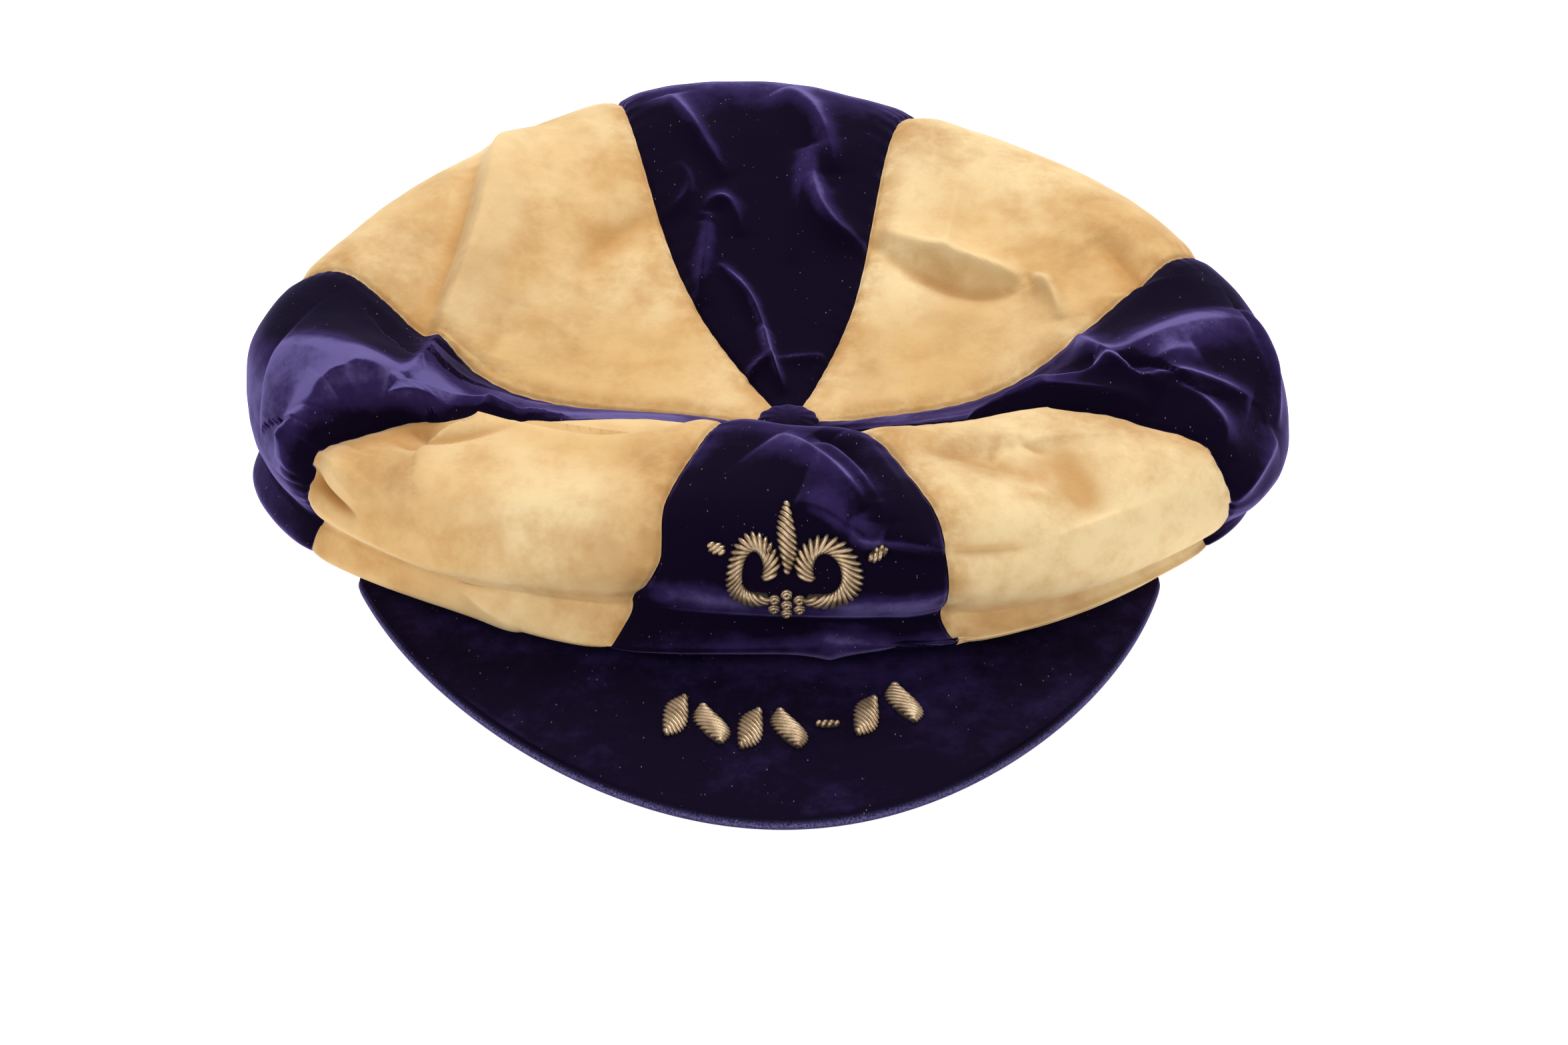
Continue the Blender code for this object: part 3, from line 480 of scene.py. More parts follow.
def own_to_part():
    """What moves the crown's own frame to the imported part's: the button is at the same place in both."""
    low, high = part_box("crown_button")
    return np.array(((low[0] + high[0]) / 2 - BUTTON_RIGHT, (low[1] + high[1]) / 2 + BUTTON_FORWARD, 0))


OFFSET = own_to_part()


# Materials

# Colours as linear values
VIOLET_DEEP = (0.0032, 0.0011, 0.0088, 1)
# the next two are the violet pile's painted light and painted highlight
VIOLET_NAP_AND_PAINTED_LIGHT = (0.022, 0.012, 0.062, 1)
VIOLET_BRIGHT = (0.105, 0.082, 0.230, 1)
# the rubbed edge's colour, bright as a painted highlight
VIOLET_WORN_HIGHLIGHT = (0.110, 0.095, 0.240, 1)
VIOLET_SHEEN = (0.45, 0.36, 0.90, 1)
LINT = (0.34, 0.32, 0.36, 1)
CREAM = (0.61, 0.39, 0.170, 1)
CREAM_PALE = (0.73, 0.56, 0.31, 1)
CREAM_TAN = (0.44, 0.22, 0.065, 1)
CREAM_STAIN = (0.30, 0.135, 0.040, 1)
CREAM_SHEEN = (1.0, 0.90, 0.72, 1)
BULLION = (0.50, 0.37, 0.235, 1)
BULLION_DARK = (0.27, 0.18, 0.105, 1)
PADDING = (0.075, 0.045, 0.025, 1)
FLOOR_WHITE = (0.55, 0.55, 0.55, 1)
FLOOR_GLOW = 0.9

# Mottling: a noise's scale, detail and roughness, and the values between which it sets in
MOTTLES = {
    "broad": (14, 4, 0.55, 0.36, 0.64),
    "cloud": (48, 5, 0.62, 0.44, 0.70),
    "brushed": (160, 5, 0.70, 0.42, 0.72),
    "seam": (120, 4, 0.65, 0.30, 0.66),
    "stain": (75, 5, 0.65, 0.28, 0.68),
    # flecks of the peak's rubbed edge and its painted highlight
    "rubbed_and_highlight": (2200, 3, 0.75, 0.30, 0.65),
    "lint": (260, 3, 0.60, 0.53, 0.58),
    "tarnish": (260, 4, 0.60, 0.40, 0.70),
}

# The violet's painted light and nap: the share of the painted light and laid nap that the mesh holds, its
# noises (scale, detail, roughness and share), and where it turns from deep to painted lit and from painted
# lit to painted bright
PAINTED_LIGHT_AND_NAP_SHARE = 0.46
NAP_NOISES = ((30, 4, 0.6, 0.55), (170, 5, 0.7, 0.50))
NOISE_MIDDLE = 0.5
NAP_LIT = (0.35, 0.80)
NAP_BRIGHT = (0.72, 1.15)

# The pile's bumps: scale, detail, depth and strength
TUFTS = (700, 3, 0.0004, 0.25)
PILE = (2600, 2, 0.00015, 0.35)

LINT_SCALE = 700.0
LINT_LIE = {"Scale": (1.0, 0.55, 0.8), "Rotation": (0.4, 0.2, 0.7)}
LINT_EDGE = (0.12, 0.06)
LINT_SHARE = 0.4
PADDING_NOISE = (600, 3, 0.6)


class Nodes:
    """A material's node tree, with short calls for adding and linking nodes."""

    def __init__(self, name):
        self.material = bpy.data.materials.new(name)
        self.material.use_nodes = True
        self.tree = self.material.node_tree
        self.shader = self.tree.nodes["Principled BSDF"]
        self.place = self.add("TexCoord").outputs["Object"]

    def add(self, kind, inputs=(), **settings):
        """A node of that kind, with its settings, and its inputs set by value or linked by socket."""
        node = self.tree.nodes.new("ShaderNode" + kind)
        for key, value in settings.items():
            setattr(node, key, value)
        for key, value in dict(inputs).items():
            self.put(node, key, value)
        return node

    def put(self, node, key, value):
        """Links a socket to a node's input, or sets the input to a plain value."""
        if isinstance(value, bpy.types.NodeSocket):
            self.tree.links.new(value, node.inputs[key])
        else:
            node.inputs[key].default_value = value

    def finish(self, **inputs):
        """Sets the shader's own sockets, by their names with _ for a space."""
        for key, value in inputs.items():
            self.put(self.shader, key.replace("_", " "), value)
        return self.material

    def noise(self, scale, detail, roughness=0.55):
        """A cloudy noise about NOISE_MIDDLE."""
        links = {"Scale": scale, "Detail": detail, "Roughness": roughness, "Vector": self.place}
        return self.add("TexNoise", links).outputs["Fac"]

    def between(self, value, low, high):
        """0 below low, 1 above high and a smooth step between."""
        ends = {"Value": value, "From Min": low, "From Max": high}
        return self.add("MapRange", ends, interpolation_type="SMOOTHSTEP").outputs["Result"]

    def mottle(self, name):
        """One of MOTTLES, from 0 to 1."""
        scale, detail, roughness, low, high = MOTTLES[name]
        return self.between(self.noise(scale, detail, roughness), low, high)

    def mix(self, share, first, second):
        """The first colour, or the second by a share."""
        node = self.add("Mix", data_type="RGBA")
        for index, value in ((0, share), (6, first), (7, second)):
            self.put(node, index, value)
        return node.outputs[2]

    def times(self, first, second):
        """The product of two values."""
        return self.math("MULTIPLY", first, second)

    def math(self, operation, *values):
        """What a Math node makes of its values."""
        return self.add("Math", dict(enumerate(values)), operation=operation).outputs[0]

    def attribute(self, name):
        """A value that the mesh holds at each of its points."""
        return self.add("Attribute", attribute_name=name).outputs["Fac"]

    def bump(self, *layers):
        """Bumps laid over each other, each a height, its depth in metres and its strength."""
        normal = None
        for height, distance, strength in layers:
            links = {"Height": height, "Distance": distance, "Strength": strength}
            if normal is not None:
                links["Normal"] = normal
            normal = self.add("Bump", links).outputs["Normal"]
        return normal


def pile(nodes):
    """The bump of a velvet's pile: fine hairs over small tufts."""
    return nodes.bump(*[(nodes.noise(*look), depth, strength) for *look, depth, strength in (TUFTS, PILE)])


def lint(nodes):
    """Scattered pale specks, where a coarse noise lets them lie."""
    bent = nodes.add("Mapping", {"Vector": nodes.place, **LINT_LIE}).outputs["Vector"]
    near = nodes.add("TexVoronoi", {"Vector": bent, "Scale": LINT_SCALE}).outputs["Distance"]
    return nodes.times(nodes.between(near, *LINT_EDGE), nodes.mottle("lint"))


def violet_velvet():
    """Deep violet pile with painted light and shade and laid nap from the mesh, a painted sheen where it is
    seen along, a rubbed edge with a painted highlight on the peak, and lint.
    """
    nodes = Nodes("violet_velvet")
    # a painted sheen where the pile is seen along, plus the mesh's painted light and shade and the peak's
    # laid nap
    painted_light_and_nap = nodes.add("LayerWeight", {"Blend": 0.5}).outputs["Facing"]
    painted_light_and_nap = nodes.math("MULTIPLY_ADD", nodes.attribute("painted_light_and_nap"), PAINTED_LIGHT_AND_NAP_SHARE, painted_light_and_nap)
    for *look, share in NAP_NOISES:
        uneven = nodes.math("SUBTRACT", nodes.noise(*look), NOISE_MIDDLE)
        painted_light_and_nap = nodes.math("MULTIPLY_ADD", uneven, share, painted_light_and_nap)
    # deep violet, then painted lit and painted bright violet
    color = nodes.mix(nodes.between(painted_light_and_nap, *NAP_LIT), VIOLET_DEEP, VIOLET_NAP_AND_PAINTED_LIGHT)
    color = nodes.mix(nodes.between(painted_light_and_nap, *NAP_BRIGHT), color, VIOLET_BRIGHT)
    # a flecked rubbed line along the peak's edge, also painted as a highlight
    rubbed_and_highlight = nodes.times(nodes.attribute("wear_and_highlight"), nodes.mottle("rubbed_and_highlight"))
    color = nodes.mix(rubbed_and_highlight, color, VIOLET_WORN_HIGHLIGHT)
    color = nodes.mix(nodes.times(lint(nodes), LINT_SHARE), color, LINT)
    return nodes.finish(
        Base_Color=color, Roughness=0.95, Specular_IOR_Level=0.05, Sheen_Weight=0.22, Sheen_Roughness=0.30,
        Sheen_Tint=VIOLET_SHEEN, Normal=pile(nodes))


def cream_velvet():
    """Cream pile that has yellowed unevenly, browned at seams and stained in places, with painted shade in
    dents, painted highlights on ridges, lip and roll, and a painted sheen where it is seen along.
    """
    nodes = Nodes("cream_velvet")
    # Facing gives a painted sheen where the pile is seen along
    facing = nodes.add("LayerWeight", {"Blend": 0.5}).outputs["Facing"]
    # the mesh's painted highlights on ridges, lip and roll and painted shade in dents
    ridge = nodes.attribute("painted_light_and_nap")
    at_seam = nodes.times(nodes.between(nodes.attribute("seam"), 1.0, 0.0), nodes.mottle("seam"))
    stained = nodes.times(nodes.attribute("stain"), nodes.mottle("stain"))
    color = nodes.mix(nodes.mottle("broad"), CREAM, CREAM_PALE)
    for where, share, tint in (
            (nodes.mottle("cloud"), 0.55, CREAM_TAN),
            (nodes.mottle("brushed"), 0.22, CREAM_TAN),
            # painted shade in dents
            (nodes.between(ridge, 0.0, -0.8), 0.75, CREAM_TAN),
            # painted highlight on ridges, lip and roll
            (nodes.between(ridge, 0.1, 0.9), 0.45, CREAM_PALE),
            (at_seam, 0.75, CREAM_TAN),
            (stained, 1.0, CREAM_STAIN),
            # painted sheen
            (nodes.between(facing, 0.45, 1.0), 0.35, CREAM_PALE)):
        color = nodes.mix(nodes.times(where, share), color, tint)
    return nodes.finish(
        Base_Color=color, Roughness=0.9, Specular_IOR_Level=0.1, Sheen_Weight=0.2, Sheen_Roughness=0.35,
        Sheen_Tint=CREAM_SHEEN, Normal=pile(nodes))


def bullion_wire():
    """Dulled gilt wire, tarnished in places."""
    nodes = Nodes("bullion_wire")
    color = nodes.mix(nodes.mottle("tarnish"), BULLION, BULLION_DARK)
    return nodes.finish(Base_Color=color, Metallic=0.8, Roughness=0.34)


def bullion_padding():
    """The dark padding between the strands of wire."""
    nodes = Nodes("bullion_padding")
    color = nodes.mix(nodes.noise(*PADDING_NOISE), PADDING, VIOLET_DEEP)
    return nodes.finish(Base_Color=color, Roughness=0.8, Metallic=0.2)


def table_top():
    """A plain white ground that glows a little, so that it stays white under the cap's shade."""
    nodes = Nodes("pale_table")
    return nodes.finish(Base_Color=FLOOR_WHITE, Roughness=1.0, Specular_IOR_Level=0.0,
                        Emission_Color=(1, 1, 1, 1), Emission_Strength=FLOOR_GLOW)


VIOLET_VELVET = violet_velvet()
CREAM_VELVET = cream_velvet()
BULLION_WIRE = bullion_wire()
BULLION_PADDING = bullion_padding()


# Meshes

# Round patches on the panels: panels round, share down, radius and strength
PATCH_COLUMNS = ("round", "down", "radius", "strength")

# Stained and browned places of the cream panels
STAINS = (
    (0.62, 0.50, 0.014, 0.5),
    (0.90, 0.52, 0.010, 0.5),
    (1.40, 0.50, 0.012, 0.4),
    (7.44, 0.55, 0.012, 0.6),
    (7.42, 0.66, 0.010, 0.4),
    (6.60, 0.56, 0.016, 0.5),
    (6.80, 0.60, 0.006, 0.5),
    (5.30, 0.42, 0.020, 0.5),
    (4.70, 0.50, 0.016, 0.3),
    (5.10, 0.25, 0.014, 0.3),
    (3.40, 0.48, 0.018, 0.5),
    (2.70, 0.46, 0.020, 0.5),
    (2.80, 0.24, 0.014, 0.3),
    (3.20, 0.12, 0.010, 0.4),
)

# Patches of painted light on the purple panels, or of painted shade where negative
PAINTED_LIGHT_PATCHES = (
    (5.70, 0.505, 0.018, -1.0),
    (5.80, 0.432, 0.017, -1.0),
    (5.88, 0.375, 0.014, -1.0),
    (5.60, 0.300, 0.012, -0.8),
    (6.16, 0.430, 0.012, 0.8),
    (6.16, 0.350, 0.010, 1.1),
    (6.34, 0.450, 0.011, 1.3),
    (6.30, 0.380, 0.008, 1.0),
    (6.32, 0.540, 0.011, 1.2),
    (6.42, 0.624, 0.009, 0.5),
    (6.00, 0.560, 0.013, 0.3),
    (6.20, 0.600, 0.012, 0.4),
    (5.92, 0.680, 0.013, 0.3),
    (5.70, 0.594, 0.010, -0.6),
    (6.10, 0.608, 0.014, 0.3),
    (6.30, 0.727, 0.012, 0.2),
    (2.38, 0.485, 0.013, -1.0),
    (2.34, 0.402, 0.012, -1.0),
    (2.20, 0.521, 0.010, -0.7),
    (2.40, 0.252, 0.014, -0.6),
    (1.66, 0.485, 0.008, -0.5),
    (1.82, 0.538, 0.007, -0.5),
    (1.68, 0.608, 0.012, 0.3),
    (1.92, 0.475, 0.010, 0.4),
    (4.12, 0.395, 0.014, -0.4),
    (3.80, 0.272, 0.014, -0.4),
    (4.44, 0.418, 0.010, -0.4),
    (4.16, 0.475, 0.012, 0.3),
    (3.96, 0.475, 0.010, 0.3),
    (7.64, 0.578, 0.009, -0.5),
    (7.62, 0.647, 0.007, -0.5),
    (0.44, 0.584, 0.008, -0.5),
    (7.98, 0.568, 0.008, -0.4),
    (0.36, 0.690, 0.006, -0.5),
    (7.50, 0.515, 0.008, 0.3),
    (7.66, 0.830, 0.010, 0.6),
    (7.84, 0.830, 0.009, 0.5),
    (0.02, 0.835, 0.009, 0.4),
    (0.18, 0.830, 0.009, 0.6),
    (0.36, 0.830, 0.010, 0.6),
    (7.62, 0.740, 0.008, 0.5),
    (0.38, 0.740, 0.008, 0.5),
    (7.80, 0.755, 0.007, 0.4),
    (0.20, 0.760, 0.007, 0.4),
)
# the most that stains, painted light patches and the painted light along creases and edges add up to
MOST_STRENGTH = 1.6

# How far a seam browns, and how far down and how strongly the lip and the roll get a painted highlight
SEAM_SHADE = 0.010
LIP_BAND = 0.020
LIP_LIGHT = 0.55
ROLL_BAND = 0.010
ROLL_LIGHT = 0.45


def new_piece(name, points, faces, material):
    """A smooth mesh piece that rides on the cap, from points in the crown's own frame."""
    mesh = bpy.data.meshes.new(name)
    mesh.from_pydata((np.asarray(points) + OFFSET).tolist(), [], faces)
    mesh.materials.append(material)
    mesh.shade_smooth()
    piece = bpy.data.objects.new(name, mesh)
    bpy.context.scene.collection.objects.link(piece)
    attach(piece, "root")
    return piece


def set_attribute(piece, name, values):
    """Gives each of a piece's points a value that its material reads."""
    layer = piece.data.attributes.new(name, "FLOAT", "POINT")
    layer.data.foreach_set("value", np.asarray(values, np.float32).ravel())


def grid_quads(columns, rows, first=0, flip=False):
    """Quads over a grid of vertices that runs row by row within each column."""
    faces = []
    for i in range(columns - 1):
        for j in range(rows - 1):
            a = first + i * rows + j
            quad = (a, a + 1, a + rows + 1, a + rows)
            faces.append(quad[::-1] if flip else quad)
    return faces


def border_line(columns, rows):
    """The grid's border as one round of vertex numbers."""
    line = [(i, 0) for i in range(columns)] + [(columns - 1, j) for j in range(1, rows)]
    line += [(i, rows - 1) for i in range(columns - 2, -1, -1)] + [(0, j) for j in range(rows - 2, 0, -1)]
    return [i * rows + j for i, j in line]


def patch_strength(patches, points):
    """How strong the patches of a table are at each point of a grid."""
    strength = np.zeros(points.shape[:2])
    for patch in named(PATCH_COLUMNS, patches):
        middle = smooth_surface([patch["round"]], [patch["down"]])[0, 0]
        distance = np.linalg.norm(points - middle, axis=2)
        strength += patch["strength"] * np.exp(-(distance / patch["radius"])**2)
    return np.clip(strength, -1, MOST_STRENGTH)


def edge_light(down):
    """How much painted highlight the lip and the lower roll get at each share down."""
    lip = np.exp(-((down - KNOTS[LIP_KNOT]) / LIP_BAND)**2)
    roll = np.exp(-((down - KNOTS[ROLL_KNOT]) / ROLL_BAND)**2)
    return LIP_LIGHT * lip + ROLL_LIGHT * roll


def crown_panel(index):
    """One velvet panel: a fine outer face, a coarser inner side, and the turned edges between them."""
    name = "crown_panel_" + PANELS[index]
    violet = index % 2 == 0
    down = row_places()
    even = np.linspace(0, 1, PANEL_STEPS + 1)
    across = index - 0.5 + EVEN_SHARE * even + (1 - EVEN_SHARE) * 0.5 * (1 - np.cos(np.pi * even))
    outer, inner, seam_distance, ridge = cloth(across, down)
    inner = inner[::COARSE, ::COARSE]
    columns, rows = outer.shape[:2]
    inner_columns, inner_rows = inner.shape[:2]
    count = columns * rows
    faces = grid_quads(columns, rows) + grid_quads(inner_columns, inner_rows, count, flip=True)
    fine, coarse = border_line(columns, rows), border_line(inner_columns, inner_rows)
    fine.append(fine[0])
    coarse.append(coarse[0])
    for step in range(len(coarse) - 1):
        stretch = fine[step * COARSE:(step + 1) * COARSE + 1]
        faces.append((count + coarse[step + 1], *stretch[::-1], count + coarse[step]))
    points = np.concatenate((outer.reshape(-1, 3), inner.reshape(-1, 3)))
    piece = new_piece(name + "_velvet", points, faces, VIOLET_VELVET if violet else CREAM_VELVET)
    # painted highlights on ridges, lip and roll, and painted shade in dents
    painted_light_and_nap = ridge + edge_light(down)
    # patches of painted light and shade on the purple panels
    if violet:
        painted_light_and_nap = painted_light_and_nap + patch_strength(PAINTED_LIGHT_PATCHES, outer)
    for attribute, values, inside in (
            ("seam", np.clip(seam_distance / SEAM_SHADE, 0, 1), 1),
            ("stain", patch_strength(STAINS, outer), 0),
            ("painted_light_and_nap", np.clip(painted_light_and_nap, -1, MOST_STRENGTH), 0)):
        set_attribute(piece, attribute, np.append(values, np.full(inner.shape[:2], inside)))
    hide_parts(name)
    return piece


BUTTON_SEGMENTS = 72
BUTTON_LOBES = 12
BUTTON_FOLD = 0.00018
BUTTON_PRESSED = 0.8


def crown_button():
    """The covered button: a flattened ball with the cover's small gathers."""
    low, high = (np.array(corner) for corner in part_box("crown_button"))
    middle, size = (low + high) / 2, (high - low) / 2
    size[2] *= BUTTON_PRESSED
    middle[2] = low[2] + size[2]
    bm = bmesh.new()
    bmesh.ops.create_uvsphere(bm, u_segments=BUTTON_SEGMENTS, v_segments=BUTTON_SEGMENTS // 2, radius=1)
    points = []
    for v in bm.verts:
        turn = math.atan2(v.co.y, v.co.x)
        gather = BUTTON_FOLD * math.cos(BUTTON_LOBES * turn) * math.hypot(v.co.x, v.co.y)**3
        points.append(middle + np.array(v.co) * (size + gather))
    bm.verts.index_update()
    faces = [tuple(v.index for v in face.verts) for face in bm.faces]
    bm.free()
    piece = new_piece("crown_button_velvet", np.array(points) - OFFSET, faces, VIOLET_VELVET)
    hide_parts("crown_button")


PEAK_STATIONS = 160
PEAK_ROWS = 40
PEAK_EDGE_STEPS = 10
PEAK_STILL_ROWS = 2
PEAK_WAVE = 0.00045
PEAK_WAVE_LENGTH = 0.034
PEAK_WAVE_START = 5.3

# The laid nap beside the crown, and the rubbed line with a painted highlight along the round edge, at a
# turn down from its top
PEAK_NAP = 0.6
PEAK_NAP_REACH = 0.022
PEAK_WEAR_AND_HIGHLIGHT = 0.0008
PEAK_WEAR_AND_HIGHLIGHT_TURN = 1.5


def peak():
    """The velvet-covered peak: a gently uneven top, a round front edge and a plain underside."""
    loops, wear_and_highlight_distance, root_distance = [], [], []
    half = PEAK_THICK / 2
    angles = np.linspace(0, math.pi, PEAK_EDGE_STEPS + 2)[1:-1]
    for turn in np.linspace(-1, 1, PEAK_STATIONS + 1):
        top = peak_section(turn, PEAK_ROWS)
        forward = unit(top[-1] - top[-2])
        flat = unit(np.array((forward[0], forward[1], 0)))
        top[-1] -= flat * half
        middle = top[-1] - (0, 0, half)
        edge = [middle + half * (flat * math.sin(a) + np.array((0, 0, math.cos(a)))) for a in angles]
        loops.append(np.concatenate((top, edge, top[::-1] - (0, 0, PEAK_THICK))))
        from_wear_and_highlight = np.linalg.norm(top - top[-1], axis=1) + half * PEAK_WEAR_AND_HIGHLIGHT_TURN
        round_edge = half * np.abs(angles - PEAK_WEAR_AND_HIGHLIGHT_TURN)
        wear_and_highlight_distance.append(np.concatenate((from_wear_and_highlight, round_edge, from_wear_and_highlight[::-1])))
        from_root = np.linalg.norm(top - top[0], axis=1)
        at_edge = np.full(len(edge), from_root[-1])
        root_distance.append(np.concatenate((from_root, at_edge, from_root[::-1])))
    loops = np.array(loops)
    free = np.zeros(loops.shape[:2])
    free[:, PEAK_STILL_ROWS:PEAK_ROWS - PEAK_STILL_ROWS] = 1
    loops[:, :, 2] += PEAK_WAVE * soft_noise(loops, PEAK_WAVE_LENGTH, PEAK_WAVE_START) * free
    count = loops.shape[1]
    faces = []
    for i in range(PEAK_STATIONS):
        for j in range(count):
            a, b = i * count + j, i * count + (j + 1) % count
            faces.append((a, b, b + count, a + count))
    last = PEAK_STATIONS * count
    faces += [tuple(reversed(range(count))), tuple(last + corner for corner in range(count))]
    piece = new_piece("peak_velvet", loops.reshape(-1, 3), faces, VIOLET_VELVET)
    # a rubbed line with a painted highlight along the round edge
    set_attribute(piece, "wear_and_highlight", np.exp(-(np.array(wear_and_highlight_distance) / PEAK_WEAR_AND_HIGHLIGHT)**2))
    set_attribute(piece, "painted_light_and_nap", PEAK_NAP * np.exp(-(np.array(root_distance) / PEAK_NAP_REACH)**2))
    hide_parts("peak")
    return piece


# Goldwork

BADGE_WIDTH = 0.038
BADGE_HEIGHT = 0.033
BADGE_RELIEF = 0.0012
BAND_WIDTH = 0.0044
KNOT_RADIUS = 0.00135
KNOT_PITCH = 0.0032
KNOT_RING = 6
KNOT_FOOT = -0.30
SCROLL_GAP = 0.00035
SCROLL_END = 0.1
SCROLL_SWELL = 4
BADGE_ROUND = -0.005
BADGE_LIP_GAP = 0.0006
BADGE_STEPS = 60
VOLUTE = {"start_up": -0.2205, "from_deg": -125, "to_deg": 200, "radius": 0.17, "end_radius": 0.11,
          "tall": 1.25, "steps": 48}
LEAF_COLUMNS = ("node", "right", "up", "turn_deg", "length", "width")
BADGE_LEAVES = (
    ("badge_leaf", 0.0, 0.21, 90, 0.42, 0.127),
    ("badge_leaf_left", -0.51, 0.12, 155, 0.12, 0.08),
    ("badge_leaf_right", 0.51, 0.12, 25, 0.12, 0.08),
)
SPRIG_LENGTH = 0.014
SPRIG_WIDTH = 0.0068
SPRIG_RELIEF = 0.0010
SPRIG_SPAN = 0.052
SPRIG_MIDDLE = 0.002
SPRIG_LINE = 0.1175
SPRIG_SAG = 0.0074
SPRIG_COLUMNS = ("node", "right", "turn_deg")
SPRIGS = (
    ("peak_sprig_1", -0.42, 72),
    ("peak_sprig_2", -0.26, 108),
    ("peak_sprig_3", -0.09, 72),
    ("peak_sprig_4", 0.08, 108),
    ("peak_sprig_5", 0.42, 72),
    ("peak_sprig_6", 0.59, 108),
)
BAR_RIGHT = 0.25
BAR_LENGTH = 0.0055
BAR_WIDTH = 0.0016
LEAF_TIP = 0.08
LEAF_STEPS = 16
SEARCH = 0.005

STRAND_RADIUS = 0.00056
STRAND_PITCH = 0.00130
STRAND_STEPS = 10
STRAND_SIDES = 8
STRAND_SLANT = 0.8
STRAND_SINK = 0.0002
STRAND_LIFT = 0.6
STRAND_DOME = 2.4
TUBE_TAPER = 0.45
TUBE_BLUNT = 6
TUBE_ASIDE = (0.31, 0.52, 0.79)
PAD_SHARE = 0.85
PAD_SECTION = ((-1, -0.2), (-0.7, 0.7), (0, 1), (0.7, 0.7), (1, -0.2))


def tree_of(piece):
    """A tree of a piece's own faces, for seating the goldwork on them, in the crown's own frame."""
    points = np.array([v.co for v in piece.data.vertices]) - OFFSET
    return BVHTree.FromPolygons(points.tolist(), [tuple(face.vertices) for face in piece.data.polygons])


def badge_seat(panel):
    """A function that gives the point and outward direction on the panel under a place in the badge."""
    tree = tree_of(panel)
    down_at = np.linspace(KNOTS[EDGE_KNOT], KNOTS[CREST_KNOT], BADGE_STEPS)
    line = smooth_surface([BADGE_ROUND], down_at)[0]
    climbed = np.append(0, np.cumsum(np.linalg.norm(np.diff(line, axis=0), axis=1)))
    middle = BADGE_LIP_GAP + KNOT_RADIUS + KNOT_PITCH - KNOT_FOOT * BADGE_HEIGHT
    per_round = np.linalg.norm(slopes([BADGE_ROUND], [np.interp(middle, climbed, down_at)])[0])

    def seat(right, up):
        """The point on the panel, and the way out of it, at a place in the badge."""
        round_at, down = [BADGE_ROUND + right / per_round], [np.interp(middle + up, climbed, down_at)]
        point = smooth_surface(round_at, down)[0, 0]
        out = unit(np.cross(*slopes(round_at, down)[::-1]))[0, 0]
        hit = tree.ray_cast(Vector(point + out * SEARCH), Vector(-out))[0]
        return (point if hit is None else np.array(hit)), out
    return seat


def peak_seat(piece):
    """A function that gives the point and outward direction on the peak's top under a plan place."""
    tree = tree_of(piece)

    def seat(right, back):
        """The point on the peak's top, and the way out of it, at a plan place."""
        hit, normal = tree.ray_cast(Vector((right, back, RIM_LIFT + SEARCH)), Vector((0, 0, -1)))[:2]
        return np.array(hit), np.array(normal)
    return seat


def tube(line, radius, sides):
    """The points and faces of a tube along a line, a little narrower at its ends."""
    line = np.asarray(line)
    ahead = unit(np.gradient(line, axis=0))
    side = unit(np.cross(ahead, TUBE_ASIDE))
    up = np.cross(side, ahead)
    share = np.linspace(-1, 1, len(line))
    swell = radius * (1 - TUBE_TAPER * np.abs(share)**TUBE_BLUNT)
    turns = np.linspace(0, 2 * math.pi, sides, endpoint=False)[:, None]
    circle = side[:, None] * np.cos(turns) + up[:, None] * np.sin(turns)
    rings = line[:, None] + swell[:, None, None] * circle
    points = rings.reshape(-1, 3)
    faces = []
    for i in range(len(line) - 1):
        for j in range(sides):
            a, b = i * sides + j, i * sides + (j + 1) % sides
            faces.append((a, a + sides, b + sides, b))
    last = (len(line) - 1) * sides
    faces += [tuple(range(sides)), tuple(last + j for j in reversed(range(sides)))]
    return points, faces


def band_places(path, widths, pitch):
    """Evenly spaced places along a flat path: their middles, directions and widths."""
    path = np.asarray(path, float)
    steps = np.linalg.norm(np.diff(path, axis=0), axis=1)
    reach = np.concatenate(([0], np.cumsum(steps)))
    count = max(2, round(reach[-1] / pitch))
    at = (np.arange(count) + 0.5) * reach[-1] / count
    middle = np.column_stack([np.interp(at, reach, path[:, axis]) for axis in (0, 1)])
    ahead = np.gradient(path, axis=0)
    ahead = unit(np.column_stack([np.interp(at, reach, ahead[:, axis]) for axis in (0, 1)]))
    return middle, ahead, np.interp(at, reach, widths)


